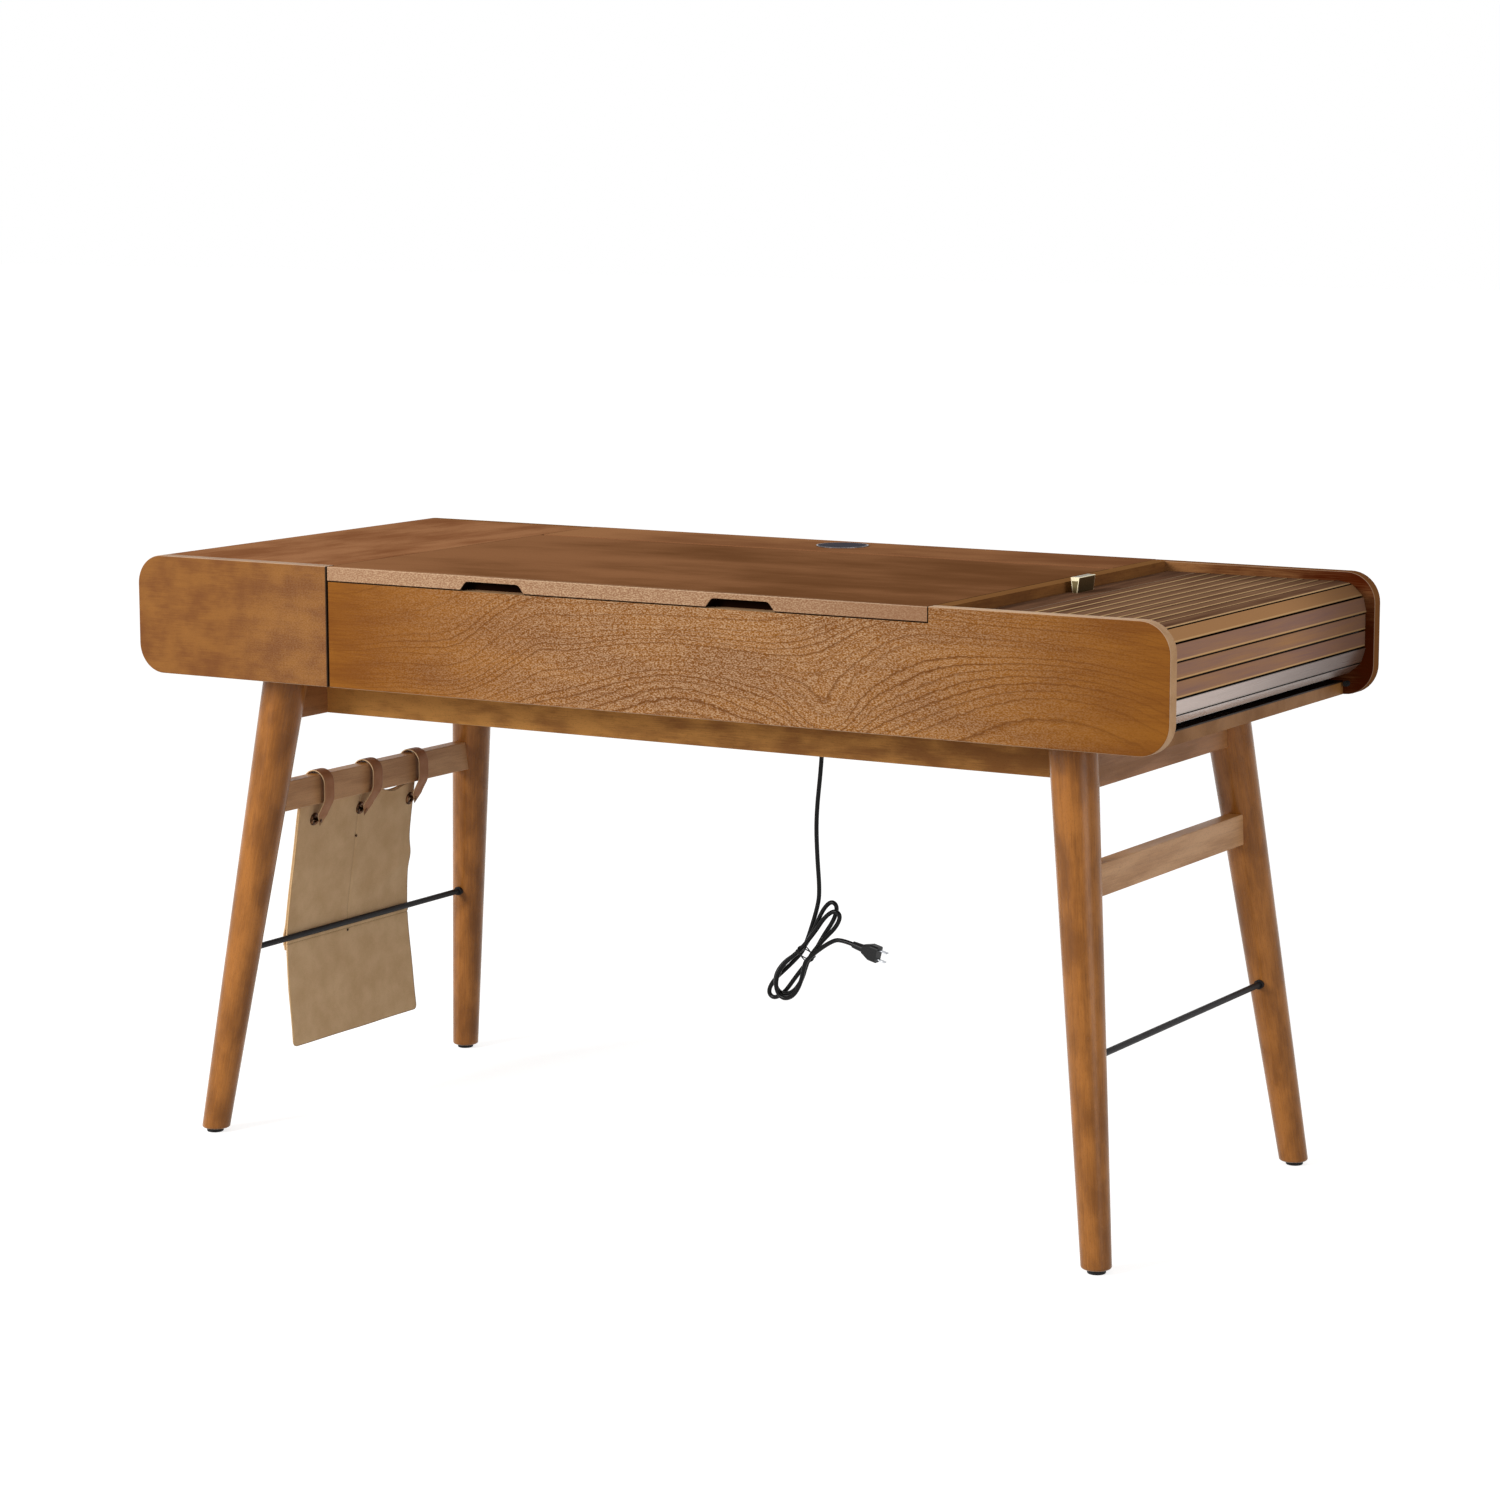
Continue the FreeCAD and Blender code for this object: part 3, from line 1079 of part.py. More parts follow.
def least_gap(edges):
    """Least clear distance between parts of a tube that are further apart along it than they are near."""
    spacing = CORD_RADIUS / 2
    points = []
    walked = 0.0
    for edge in edges:
        count = max(2, int(edge.Length / spacing))
        for place in edge.discretize(count)[:-1]:
            points.append((walked, place))
            walked += edge.Length / (count - 1)
    gap = math.inf
    for index, (here, place) in enumerate(points):
        for there, other in points[index + 1:]:
            if there - here > 8 * CORD_RADIUS:
                gap = min(gap, (place - other).Length - 2 * CORD_RADIUS)
    return gap


print("cord_hank least gap to itself", round(least_gap(hank_edges), 2))

# Tie: a band round the waist of the hank
tie_in = CORD_RADIUS + TIE_GAP
tie_levels = (-tie_in, HANK_TURNS * HANK_STEP + tie_in)
tie_half = HANK_WAIST + tie_in


def tie_block(grow):
    """Rounded block round the waist, as long as the tie is wide."""
    corners = []
    for across, towards in ((-1, 0), (1, 0), (1, 1), (-1, 1)):
        level = tie_levels[towards] + grow * (2 * towards - 1)
        corners.append(in_hank(-TIE_WIDTH / 2, across * (tie_half + grow), level))
    radii = [CORD_RADIUS + grow] * 4
    wire = Part.Wire(rounded_edges(corners, radii, True))
    return Part.Face(wire).extrude(hank_along * TIE_WIDTH)


parts["cord_tie"] = tie_block(TIE_THICK).cut(tie_block(0.0))

# Stub of cord and the moulded plug with its blades
parts["cord_stub"] = route_tube("cord_stub", stub_points)
plug_start = stub_points[-1]
plug_heading = unit(stub_points[-1] - stub_points[-2])
plug_side = unit(plug_heading.cross(Vector(0, 1, 0)))
plug_deep = plug_heading.cross(plug_side)


def plug_section(along, width, thick, radius):
    """Rounded rectangle across the plug, a distance on from the cord's end."""
    middle = plug_start + plug_heading * along
    corners = []
    for side, deep in ((-1, -1), (1, -1), (1, 1), (-1, 1)):
        corners.append(middle + plug_side * (side * width / 2) + plug_deep * (deep * thick / 2))
    return Part.Wire(rounded_edges(corners, [radius] * 4, True))


relief_cone = Part.makeCone(CORD_RADIUS + EDGE_ROUND, PLUG_NECK / 2, PLUG_RELIEF, plug_start, plug_heading)
plug_round = PLUG_THICK / 4
plug_body = Part.makeLoft([
    plug_section(PLUG_RELIEF, PLUG_NECK + EDGE_ROUND, PLUG_NECK, plug_round),
    plug_section(PLUG_RELIEF + PLUG_LENGTH / 2, PLUG_WIDTH, PLUG_THICK, plug_round),
    plug_section(PLUG_RELIEF + PLUG_LENGTH, PLUG_WIDTH, PLUG_THICK, plug_round),
], True, True)
parts["plug"] = relief_cone.fuse(plug_body).removeSplitter()
blades = []
for side in (-BLADE_SPACING / 2, BLADE_SPACING / 2):
    face = Part.Face(plug_section(PLUG_RELIEF + PLUG_LENGTH, BLADE_THICK, BLADE_WIDTH, BLADE_THICK / 4))
    blade = face.extrude(plug_heading * BLADE_LENGTH)
    blade.translate(plug_side * side)
    blades.append(blade)
parts["plug_blades"] = Part.makeCompound(blades)

os.makedirs("parts", exist_ok=True)
for name, shape in parts.items():
    shape.exportStep(os.path.join("parts", name + ".step"))
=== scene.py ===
"""Dresses the writing desk for its picture: a finish on every CAD piece, and a new cord, slats and pouch."""

import math

import bmesh
import bpy
import numpy as np
from mathutils import Matrix, Vector


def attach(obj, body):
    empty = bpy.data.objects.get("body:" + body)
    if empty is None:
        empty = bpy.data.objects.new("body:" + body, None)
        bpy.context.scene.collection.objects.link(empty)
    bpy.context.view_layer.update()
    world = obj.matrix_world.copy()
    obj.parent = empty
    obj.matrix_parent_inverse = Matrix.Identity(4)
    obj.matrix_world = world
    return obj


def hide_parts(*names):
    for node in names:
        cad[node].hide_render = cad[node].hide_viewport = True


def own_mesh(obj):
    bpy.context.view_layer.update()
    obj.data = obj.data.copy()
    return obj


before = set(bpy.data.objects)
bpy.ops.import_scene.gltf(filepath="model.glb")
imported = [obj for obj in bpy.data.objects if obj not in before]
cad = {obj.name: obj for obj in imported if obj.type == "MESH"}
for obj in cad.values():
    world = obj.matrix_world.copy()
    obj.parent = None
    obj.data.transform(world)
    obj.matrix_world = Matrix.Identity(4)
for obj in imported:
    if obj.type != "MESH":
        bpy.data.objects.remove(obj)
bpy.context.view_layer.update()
scene = bpy.context.scene
MM = 0.001

# Camera: a long lens a little above the desk and to its right. Its place was solved from the edges of
# the case and the feet, for a picture of 1500 by 1500.
PICTURE = 1500
LENS_PIXELS = 3907.59
SENSOR = 36.0
CAMERA_AT = Vector((2551.38, -4213.0, 1275.32)) * MM
YAW, PITCH, ROLL = -0.54322, 0.15212, -0.00124

forward = Vector((math.sin(YAW) * math.cos(PITCH), math.cos(YAW) * math.cos(PITCH), -math.sin(PITCH)))
level = Vector((math.cos(YAW), -math.sin(YAW), 0.0))
upright = level.cross(forward)
across = level * math.cos(ROLL) + upright * math.sin(ROLL)
upright = upright * math.cos(ROLL) - level * math.sin(ROLL)
camera_data = bpy.data.cameras.new("camera")
camera_data.sensor_width = SENSOR
camera_data.lens = SENSOR * LENS_PIXELS / PICTURE
camera = bpy.data.objects.new("camera", camera_data)
turned = Matrix((across, upright, -forward)).transposed().to_4x4()
camera.matrix_world = Matrix.Translation(CAMERA_AT) @ turned
scene.collection.objects.link(camera)
scene.camera = camera

# Studio: a white floor that runs into white surroundings, with a broad soft lamp to the left of
# the camera and a weaker one at the right. White is what the camera and glossy rays see there.
SKY_LIGHT = 0.48
FLOOR_TONE = "#BFBEBD"
FLOOR_LIFT = 0.78
FLOOR_REACH = 60.0
LAMPS = {
    # name: (place in metres, aim, width, height, watts)
    "key_lamp": ((-1.9, -3.9, 2.3), (0.0, 0.0, 0.55), 1.5, 1.8, 168.0),
    "fill_lamp": ((4.2, -1.4, 1.3), (0.2, 0.0, 0.5), 2.0, 2.0, 36.0),
}


def linear(hex_colour):
    """Linear RGBA of an sRGB hex colour: c / 12.92 up to 0.04045, else ((c + 0.055) / 1.055) ^ 2.4."""
    code = np.array([int(hex_colour[i:i + 2], 16) for i in (1, 3, 5)]) / 255
    rgb = np.where(code <= 0.04045, code / 12.92, ((code + 0.055) / 1.055) ** 2.4)
    return (*rgb.tolist(), 1.0)


def add_node(tree, kind, settings, inputs, output=0):
    """Adds a node, sets it up, gives each named input a value or a link, and returns one of its outputs."""
    node = tree.nodes.new("ShaderNode" + kind)
    for key, value in settings.items():
        setattr(node, key, value)
    sockets = {socket.identifier: socket for socket in node.inputs}
    for key, value in inputs.items():
        socket = sockets.get(key) or node.inputs[key]
        if isinstance(value, bpy.types.NodeSocket):
            tree.links.new(value, socket)
        else:
            socket.default_value = value
    return node.outputs[output] if node.outputs else None


def empty_tree(owner):
    """The owner's node tree with nothing in it yet."""
    owner.use_nodes = True
    owner.node_tree.nodes.clear()
    return owner.node_tree


def seen_directly(tree):
    """1 for camera, glossy and transmission rays, and 0 for the rays that light the desk."""
    rays = add_node(tree, "LightPath", {}, {}).node.outputs
    seen = rays["Is Camera Ray"]
    for kind in ("Is Glossy Ray", "Is Transmission Ray"):
        seen = add_node(tree, "Math", {"operation": "MAXIMUM"}, {"Value": seen, "Value_001": rays[kind]})
    return seen


scene.view_settings.view_transform = "Standard"
scene.world = bpy.data.worlds.new("white_studio")
sky = empty_tree(scene.world)
sky_strength = add_node(sky, "MapRange", {},
                        {"Value": seen_directly(sky), "To Min": SKY_LIGHT, "To Max": 1.0})
sky_light = add_node(sky, "Background", {}, {"Color": (1, 1, 1, 1), "Strength": sky_strength})
add_node(sky, "OutputWorld", {}, {"Surface": sky_light})

floor_mesh = bpy.data.meshes.new("studio_floor")
half = FLOOR_REACH / 2
floor_corners = [(-half, -half, 0), (half, -half, 0), (half, half, 0), (-half, half, 0)]
floor_mesh.from_pydata(floor_corners, [], [(0, 1, 2, 3)])
floor = bpy.data.objects.new("studio_floor", floor_mesh)
scene.collection.objects.link(floor)
floor_paint = bpy.data.materials.new("matt_white_floor_paint")
tree = empty_tree(floor_paint)
lift = add_node(tree, "Math", {"operation": "MULTIPLY"},
                {"Value": seen_directly(tree), "Value_001": FLOOR_LIFT})
paint = add_node(tree, "BsdfPrincipled", {}, {
    "Base Color": linear(FLOOR_TONE), "Roughness": 1.0, "Specular IOR Level": 0.0,
    "Emission Color": (1, 1, 1, 1), "Emission Strength": lift})
add_node(tree, "OutputMaterial", {}, {"Surface": paint})
floor_mesh.materials.append(floor_paint)

for name, (place, aim, wide, tall, watts) in LAMPS.items():
    lamp_data = bpy.data.lights.new(name, "AREA")
    lamp_data.shape = "RECTANGLE"
    lamp_data.size, lamp_data.size_y = wide, tall
    lamp_data.energy = watts
    lamp = bpy.data.objects.new(name, lamp_data)
    lamp.location = place
    lamp.rotation_euler = (Vector(aim) - Vector(place)).to_track_quat("-Z", "Y").to_euler()
    lamp.visible_camera = False
    scene.collection.objects.link(lamp)

# Legs: four round tapered legs turned from solid birch, wiped with a walnut stain and lacquered.
# Each is splayed both ways, so its grain is turned to run along its own axis. Satin lacquer gives the
# turned sides a soft pale sheen.
LEG_TONES = ("#AA6B2C", "#7D4A18", "#5A330C", "#B98C62")
LEG_RING = 17.0
LEG_TOP, LEG_FOOT = 607.0, 0.0
LEG_TOP_AT, LEG_SPLAY = (569.0, 210.0), 75.0
PITH_IN, PITH_OUT = 34.0, 21.0
# Tones of a painted arris highlight, of painted glints on the pores, which also tint the lacquer's sheen, and
# of painted shade in gaps and cut-outs, almost black.
ARRIS_HIGHLIGHT_TONE, GLINT_TONE, PAINTED_SHADE_TONE = "#EBCFB2", "#E2C29C", "#160A05"
# Length and width of the patterns in the wood, in millimetres. Fibres are really 0.05 mm wide and pores
# 0.1 mm; both are drawn coarse enough to show in the picture.
DRIFT_SIZE, RAGGED_SIZE = (330, 62), (13, 6)
FIBRE_SIZE, PORE_SIZE = (42, 1.3), (2.6, 1.15)
RAGGED_SHARE, FIBRE_SHARE, PORE_SHARE = 0.6, 0.40, 0.8
FINE_RING, FINE_LINE = 0.37, 0.45
LATE_FROM, LATE_PEAK, LATE_POWER, LATE_LEAST = 0.56, 0.90, 1.6, 0.1
STAIN_FROM, STAIN_TO = 0.50, 0.92
OUTER_SKIN = (-0.5, -2.0)
EDGE_SHARE = 0.65
ENDLESS = 1e6
SOFTLY, COLOURS = {"interpolation_type": "SMOOTHSTEP"}, {"data_type": "RGBA"}


def stained_wood(name, tones, turn=(0, 0, 0), centre=(0, 0, 0), ring=14.0, drift=12.0, slant=0.35, lines=0.5,
                 figure=(), mottle=(120, 55), painted_light_lean=0.0, outer_at=None, broad=None, arris_highlight=0.0, painted_glint=0.0,
                 painted_glint_at=(0, 0, 0), painted_glint_reach=(500, 500, 500), painted_shade_ends=(0, 0), painted_shade_places=(), rough=0.45,
                 shine=0.2, glow=0.0):
    """Stained, lacquered wood with its grain along the X axis of a turned frame, in millimetres.

    Ring height = across + slant * depth + drift * slow noise + bell-shaped humps of the figure.
    Each ring ends in a late-wood line, whose strength is lines times a chance number, with fainter lines
    at a fine spacing. Fibres and stain blotches of the mottle's length and width mix the pale and deep
    tones, and the colour deepens along the grain by the given amount for each metre, a painted gradient of
    light and shade. On a board's outer face, at depth 0, it is even instead, as it is at outer_at. Painted
    glints of light on the pores fill a round zone, and the lines are strongest there. Faces that aren't
    broad faces of the board get the edge tone, and the arris between them is paler, a painted highlight.
    The end faces at either side and the places given as (axis, clear from, dark from) limits carry painted
    shade, almost black. Glow is the weight of a pale sheen at the rim of a rounded piece.
    """
    pale, deep, line, edge = tones
    material = bpy.data.materials.new(name)
    tree = empty_tree(material)
    place = add_node(tree, "TexCoord", {}, {}, "Object")
    normal = add_node(tree, "TexCoord", {}, {}, "Normal")
    grain = add_node(tree, "Mapping", {"vector_type": "TEXTURE"}, {
        "Vector": place, "Location": Vector(centre) * MM, "Rotation": turn, "Scale": (MM, MM, MM)})
    axes = add_node(tree, "SeparateXYZ", {}, {"Vector": grain}).node.outputs
    noise = {}
    for pattern, (long, wide), detail, crisp in (
            ("drift", DRIFT_SIZE, 4.0, 0.5), ("ragged", RAGGED_SIZE, 2.0, 0.5),
            ("fibre", FIBRE_SIZE, 3.0, 0.6), ("blotch", mottle, 3.0, 0.55), ("pore", PORE_SIZE, 1.5, 0.6)):
        sized = add_node(tree, "Mapping", {}, {"Vector": grain, "Scale": (1 / long, 1 / wide, 1 / wide)})
        noise[pattern] = add_node(tree, "TexNoise", {}, {
            "Vector": sized, "Scale": 1.0, "Detail": detail, "Roughness": crisp})

    height = axes["Z"]
    for term, share in (
            (axes["Y"], slant), (noise["drift"], 2 * drift), (noise["ragged"], RAGGED_SHARE * ring)):
        height = add_node(tree, "Math", {"operation": "MULTIPLY_ADD"},
                          {"Value": term, "Value_001": share, "Value_002": height})
    for along, up, reach, tall, rise in figure:
        spot = add_node(tree, "Mapping", {"vector_type": "TEXTURE"}, {
            "Vector": grain, "Location": (along, 0, up), "Scale": (reach, ENDLESS, tall)})
        far = add_node(tree, "VectorMath", {"operation": "DOT_PRODUCT"},
                       {"Vector": spot, "Vector_001": spot}, "Value")
        hump = add_node(tree, "Math", {"operation": "POWER"}, {"Value": math.exp(-1), "Value_001": far})
        height = add_node(tree, "Math", {"operation": "MULTIPLY_ADD"},
                          {"Value": hump, "Value_001": rise, "Value_002": height})
    late = 0.0
    for spacing, strength in ((ring, lines), (FINE_RING * ring, FINE_LINE * lines)):
        phase = add_node(tree, "Math", {"operation": "DIVIDE"}, {"Value": height, "Value_001": spacing})
        share = add_node(tree, "Math", {"operation": "FRACT"}, {"Value": phase})
        order = add_node(tree, "Math", {"operation": "FLOOR"}, {"Value": phase})
        year = add_node(tree, "TexWhiteNoise", {"noise_dimensions": "1D"}, {"W": order})
        darkening = add_node(tree, "MapRange", SOFTLY,
                             {"Value": share, "From Min": LATE_FROM, "From Max": LATE_PEAK})
        ending = add_node(tree, "MapRange", SOFTLY, {
            "Value": share, "From Min": LATE_PEAK, "From Max": 1.0, "To Min": 1.0, "To Max": 0.0})
        mark = add_node(tree, "Math", {"operation": "MULTIPLY"}, {"Value": darkening, "Value_001": ending})
        mark = add_node(tree, "Math", {"operation": "POWER"}, {"Value": mark, "Value_001": LATE_POWER})
        weight = add_node(tree, "MapRange", SOFTLY,
                          {"Value": year, "To Min": LATE_LEAST * strength, "To Max": strength})
        mark = add_node(tree, "Math", {"operation": "MULTIPLY"}, {"Value": mark, "Value_001": weight})
        late = add_node(tree, "Math", {"operation": "MAXIMUM"}, {"Value": mark, "Value_001": late})

    along = axes["X"]
    if outer_at is not None:
        within = add_node(tree, "MapRange", {}, {
            "Value": axes["Y"], "From Min": OUTER_SKIN[0], "From Max": OUTER_SKIN[1]})
        along = add_node(tree, "Mix", {}, {"Factor_Float": within, "A_Float": outer_at, "B_Float": along})
    # The colour deepens along the grain by a painted gradient of light and shade.
    mixed = noise["blotch"]
    for term, share in ((noise["fibre"], FIBRE_SHARE), (along, painted_light_lean * MM)):
        mixed = add_node(tree, "Math", {"operation": "MULTIPLY_ADD"},
                         {"Value": term, "Value_001": share, "Value_002": mixed})
    depth = add_node(tree, "MapRange", SOFTLY, {"Value": mixed, "From Min": STAIN_FROM, "From Max": STAIN_TO})
    hollow = add_node(tree, "MapRange", SOFTLY, {
        "Value": noise["pore"], "From Min": 0.46, "From Max": 0.30, "To Min": 0.0, "To Max": 0.22})
    # Painted highlight: pale glints of light on the pores, strongest in a round zone where the lacquer
    # catches the lamp.
    glint = 0.0
    if painted_glint:
        zone = add_node(tree, "Mapping", {"vector_type": "TEXTURE"},
                        {"Vector": grain, "Location": painted_glint_at, "Scale": painted_glint_reach})
        far = add_node(tree, "VectorMath", {"operation": "LENGTH"}, {"Vector": zone}, "Value")
        within = add_node(tree, "MapRange", SOFTLY, {
            "Value": far, "From Min": 0.25, "From Max": 1.0, "To Min": painted_glint, "To Max": 0.0})
        fading = add_node(tree, "MapRange", SOFTLY, {
            "Value": far, "From Min": 0.55, "From Max": 1.1, "To Min": 1.0, "To Max": 0.3})
        late = add_node(tree, "Math", {"operation": "MULTIPLY"}, {"Value": late, "Value_001": fading})
        glint = add_node(tree, "MapRange", SOFTLY,
                         {"Value": noise["pore"], "From Min": 0.38, "From Max": 0.68})
        glint = add_node(tree, "Math", {"operation": "MULTIPLY"}, {"Value": glint, "Value_001": within})
    colour = linear(pale)
    for factor, tone in ((depth, deep), (glint, GLINT_TONE), (hollow, line), (late, line)):
        colour = add_node(tree, "Mix", COLOURS,
                          {"Factor_Float": factor, "A_Color": colour, "B_Color": linear(tone)}, 2)

    # Edges of a board take the stain less evenly. The arris between them is made paler, a painted
    # highlight where the rounded edge catches the light.
    if broad is not None:
        facing = add_node(tree, "SeparateXYZ", {}, {"Vector": normal}, broad)
        facing = add_node(tree, "Math", {"operation": "ABSOLUTE"}, {"Value": facing})
        face = add_node(tree, "MapRange", SOFTLY, {"Value": facing, "From Min": 0.20, "From Max": 0.95})
        worn = linear(edge)
        for factor, tone in ((depth, deep), (EDGE_SHARE, edge), (glint, GLINT_TONE)):
            worn = add_node(tree, "Mix", COLOURS,
                            {"Factor_Float": factor, "A_Color": worn, "B_Color": linear(tone)}, 2)
        colour = add_node(tree, "Mix", COLOURS, {"Factor_Float": face, "A_Color": worn, "B_Color": colour}, 2)
        arris = add_node(tree, "Math", {"operation": "PINGPONG"}, {"Value": face, "Value_001": 0.5})
        arris = add_node(tree, "Math", {"operation": "MULTIPLY"}, {"Value": arris, "Value_001": 2 * arris_highlight})
        colour = add_node(tree, "Mix", COLOURS,
                          {"Factor_Float": arris, "A_Color": colour, "B_Color": linear(ARRIS_HIGHLIGHT_TONE)}, 2)
    # Painted shade: end faces in the gaps and the given cut-outs darkened almost to black.
    painted_shade = []
    for sign, amount in zip((-1, 1), painted_shade_ends):
        if amount:
            sideways = add_node(tree, "SeparateXYZ", {}, {"Vector": normal}, 0)
            sideways = add_node(tree, "Math", {"operation": "MULTIPLY"},
                                {"Value": sideways, "Value_001": sign})
            painted_shade.append(add_node(tree, "MapRange", SOFTLY, {
                "Value": sideways, "From Min": 0.25, "From Max": 0.60, "To Max": amount}))
    for limits in painted_shade_places:
        inside = 1.0
        for axis, clear, dark in limits:
            at = add_node(tree, "SeparateXYZ", {}, {"Vector": place}, axis)
            past = add_node(tree, "MapRange", SOFTLY,
                            {"Value": at, "From Min": clear * MM, "From Max": dark * MM})
            inside = add_node(tree, "Math", {"operation": "MULTIPLY"}, {"Value": past, "Value_001": inside})
        painted_shade.append(inside)
    for factor in painted_shade:
        colour = add_node(tree, "Mix", COLOURS,
                          {"Factor_Float": factor, "A_Color": colour, "B_Color": linear(PAINTED_SHADE_TONE)}, 2)

    grit = add_node(tree, "Math", {"operation": "MULTIPLY_ADD"},
                    {"Value": noise["pore"], "Value_001": PORE_SHARE, "Value_002": noise["fibre"]})
    skin = add_node(tree, "Bump", {}, {"Strength": 0.22, "Distance": 0.4 * MM, "Height": grit})
    gloss = add_node(tree, "MapRange", {}, {
        "Value": noise["blotch"], "From Min": 0.3, "From Max": 0.7,
        "To Min": rough - 0.05, "To Max": rough + 0.07})
    wood = add_node(tree, "BsdfPrincipled", {}, {
        "Base Color": colour, "Roughness": gloss, "Normal": skin, "IOR": 1.5, "Specular IOR Level": shine,
        "Sheen Weight": glow, "Sheen Roughness": 0.5, "Sheen Tint": linear(GLINT_TONE)})
    add_node(tree, "OutputMaterial", {}, {"Surface": wood})
    return material


def dress(material, *names):
    """Gives CAD pieces their finish."""
    for name in names:
        for slot in cad[name].material_slots:
            slot.material = material


for front, y_side in (("front", -1), ("back", 1)):
    for side, x_side in (("left", -1), ("right", 1)):
        run = Vector((x_side * LEG_SPLAY, y_side * LEG_SPLAY, LEG_FOOT - LEG_TOP))
        leg_turn = run.to_track_quat("X", "Z").to_euler()
        pith = (x_side * (LEG_TOP_AT[0] - PITH_IN), y_side * (LEG_TOP_AT[1] + PITH_OUT), LEG_TOP)
        leg_wood = stained_wood(f"walnut_stained_birch_leg_{front}_{side}", LEG_TONES, turn=leg_turn,
                                centre=pith, ring=LEG_RING, drift=9.0, slant=0.6, lines=0.2,
                                mottle=(70, 30), rough=0.24, shine=0.22, glow=0.4)
        dress(leg_wood, f"leg_{front}_{side}")

# Glides: black nylon discs nailed under the feet, and pegs of the same nylon that stop the tambour.
# Moulded nylon is dull and slightly uneven.
NYLON_TONE = "#1B1A1A"
CLOUD_SIZE = 18.0
FADE, FADE_LIFT = 1.5, 0.004


def moulded(name, tone, rough, grit_mm, depth_mm, shine=0.5):
    """Moulded plastic or paint: one tone with faded patches, where linear light is fade times the tone plus
    a lift, and a fine even grit in its height and in its gloss."""
    material = bpy.data.materials.new(name)
    tree = empty_tree(material)
    place = add_node(tree, "TexCoord", {}, {}, "Object")
    grit = add_node(tree, "TexNoise", {}, {"Vector": place, "Scale": 1 / (grit_mm * MM), "Detail": 2.0})
    cloud = add_node(tree, "TexNoise", {}, {"Vector": place, "Scale": 1 / (CLOUD_SIZE * MM), "Detail": 2.0})
    gloss = add_node(tree, "MapRange", {}, {
        "Value": grit, "From Min": 0.3, "From Max": 0.7, "To Min": rough - 0.06, "To Max": rough + 0.08})
    faded = tuple(min(1.0, FADE * c + FADE_LIFT) for c in linear(tone)[:3]) + (1.0,)
    colour = add_node(tree, "Mix", COLOURS,
                      {"Factor_Float": cloud, "A_Color": linear(tone), "B_Color": faded}, 2)
    skin = add_node(tree, "Bump", {}, {"Strength": 0.3, "Distance": depth_mm * MM, "Height": grit})
    body = add_node(tree, "BsdfPrincipled", {}, {
        "Base Color": colour, "Roughness": gloss, "Normal": skin, "Specular IOR Level": shine})
    add_node(tree, "OutputMaterial", {}, {"Surface": body})
    return material


nylon = moulded("moulded_black_nylon", NYLON_TONE, rough=0.55, grit_mm=0.9, depth_mm=0.05, shine=0.15)
dress(nylon, "leg_glides", "tambour_stop_pegs")

# Under-frame: birch aprons and stretchers tenoned into the legs, eased along their edges.
# They are cut along the grain, so side pieces run front to back and cross pieces left to right. The
# stain is thin here and leaves soft streaks. The stretchers and cross aprons are made paler than the side
# aprons and the case as painted light, the cross aprons paler still to the left, and the stretchers' top
# faces take a golden edge tone, painted light on the top. Their arrises carry a painted highlight.
RAIL_TONES = ("#A87346", "#885A30", "#583618", "#B07C46")
STRETCHER_LIT_TONES = ("#C8986A", "#A87A50", "#6B4A30", "#C68F50")
CROSS_LIT_TONES = ("#D0944E", "#9C6836", "#6B421C", "#B58550")
ALONG_Y = (0, 0, math.pi / 2)
rail_wood = stained_wood("walnut_stained_birch_side_rail", RAIL_TONES, turn=ALONG_Y, centre=(0, 0, 500),
                         ring=19.0, drift=10.0, lines=0.15, mottle=(150, 24), broad=0, arris_highlight=0.3,
                         rough=0.40, shine=0.15)
stretcher_wood = stained_wood("walnut_stained_birch_stretcher", STRETCHER_LIT_TONES, turn=ALONG_Y,
                              centre=(0, 0, 440), ring=19.0, drift=10.0, lines=0.12, mottle=(150, 24),
                              broad=0, arris_highlight=0.5, rough=0.40, shine=0.2)
cross_wood = stained_wood("walnut_stained_birch_cross_rail", CROSS_LIT_TONES, centre=(0, 0, 575), ring=17.0,
                          drift=8.0, lines=0.12, mottle=(60, 22), painted_light_lean=0.3, broad=1, arris_highlight=0.3,
                          rough=0.46, shine=0.08)
dress(rail_wood, "side_apron_left", "side_apron_right")
dress(stretcher_wood, "stretcher_left", "stretcher_right")
dress(cross_wood, "cross_apron_front", "cross_apron_back")

# Rods: 8 mm steel with a black powder coat, let into the legs through pressed ferrules.
# Powder coat is a satin black with a faint orange peel.
POWDER_TONE = "#161517"
powder = moulded("black_powder_coat", POWDER_TONE, rough=0.45, grit_mm=1.6, depth_mm=0.06, shine=0.14)
dress(powder, "rod_left", "rod_right", "rod_ferrules")

# Case: birch-veneered boards, the broad front with a cathedral figure, glued round dividers and a
# bottom board. The left end is bent round in one shell. Stain sinks deepest into the late wood, so the
# figure shows as dark lines under a satin lacquer, with painted glints of light on the pores between them.
FRONT_TONES = ("#8B5517", "#75420E", "#643608", "#C59B70")
SIDE_TONES = ("#8C5C2C", "#734623", "#5A3416", "#B08A68")
LID_TONES = ("#9B6A46", "#774D2E", "#4A2C14", "#987256")
TOP_TONES = ("#AC7850", "#845536", "#4A2C14", "#8E6040")
SHELL_TONES = ("#AF7A53", "#8F5B39", "#5A3416", "#C09A78")
SHADE_TONES = ("#94663E", "#4A1A06", "#3E220F", "#8E6038")
BAY_LIT_TONES = ("#926236", "#764C2C", "#4A2C14", "#8E6238")
UNDER_TONES = ("#98693A", "#7F5429", "#66401B", "#A97A48")
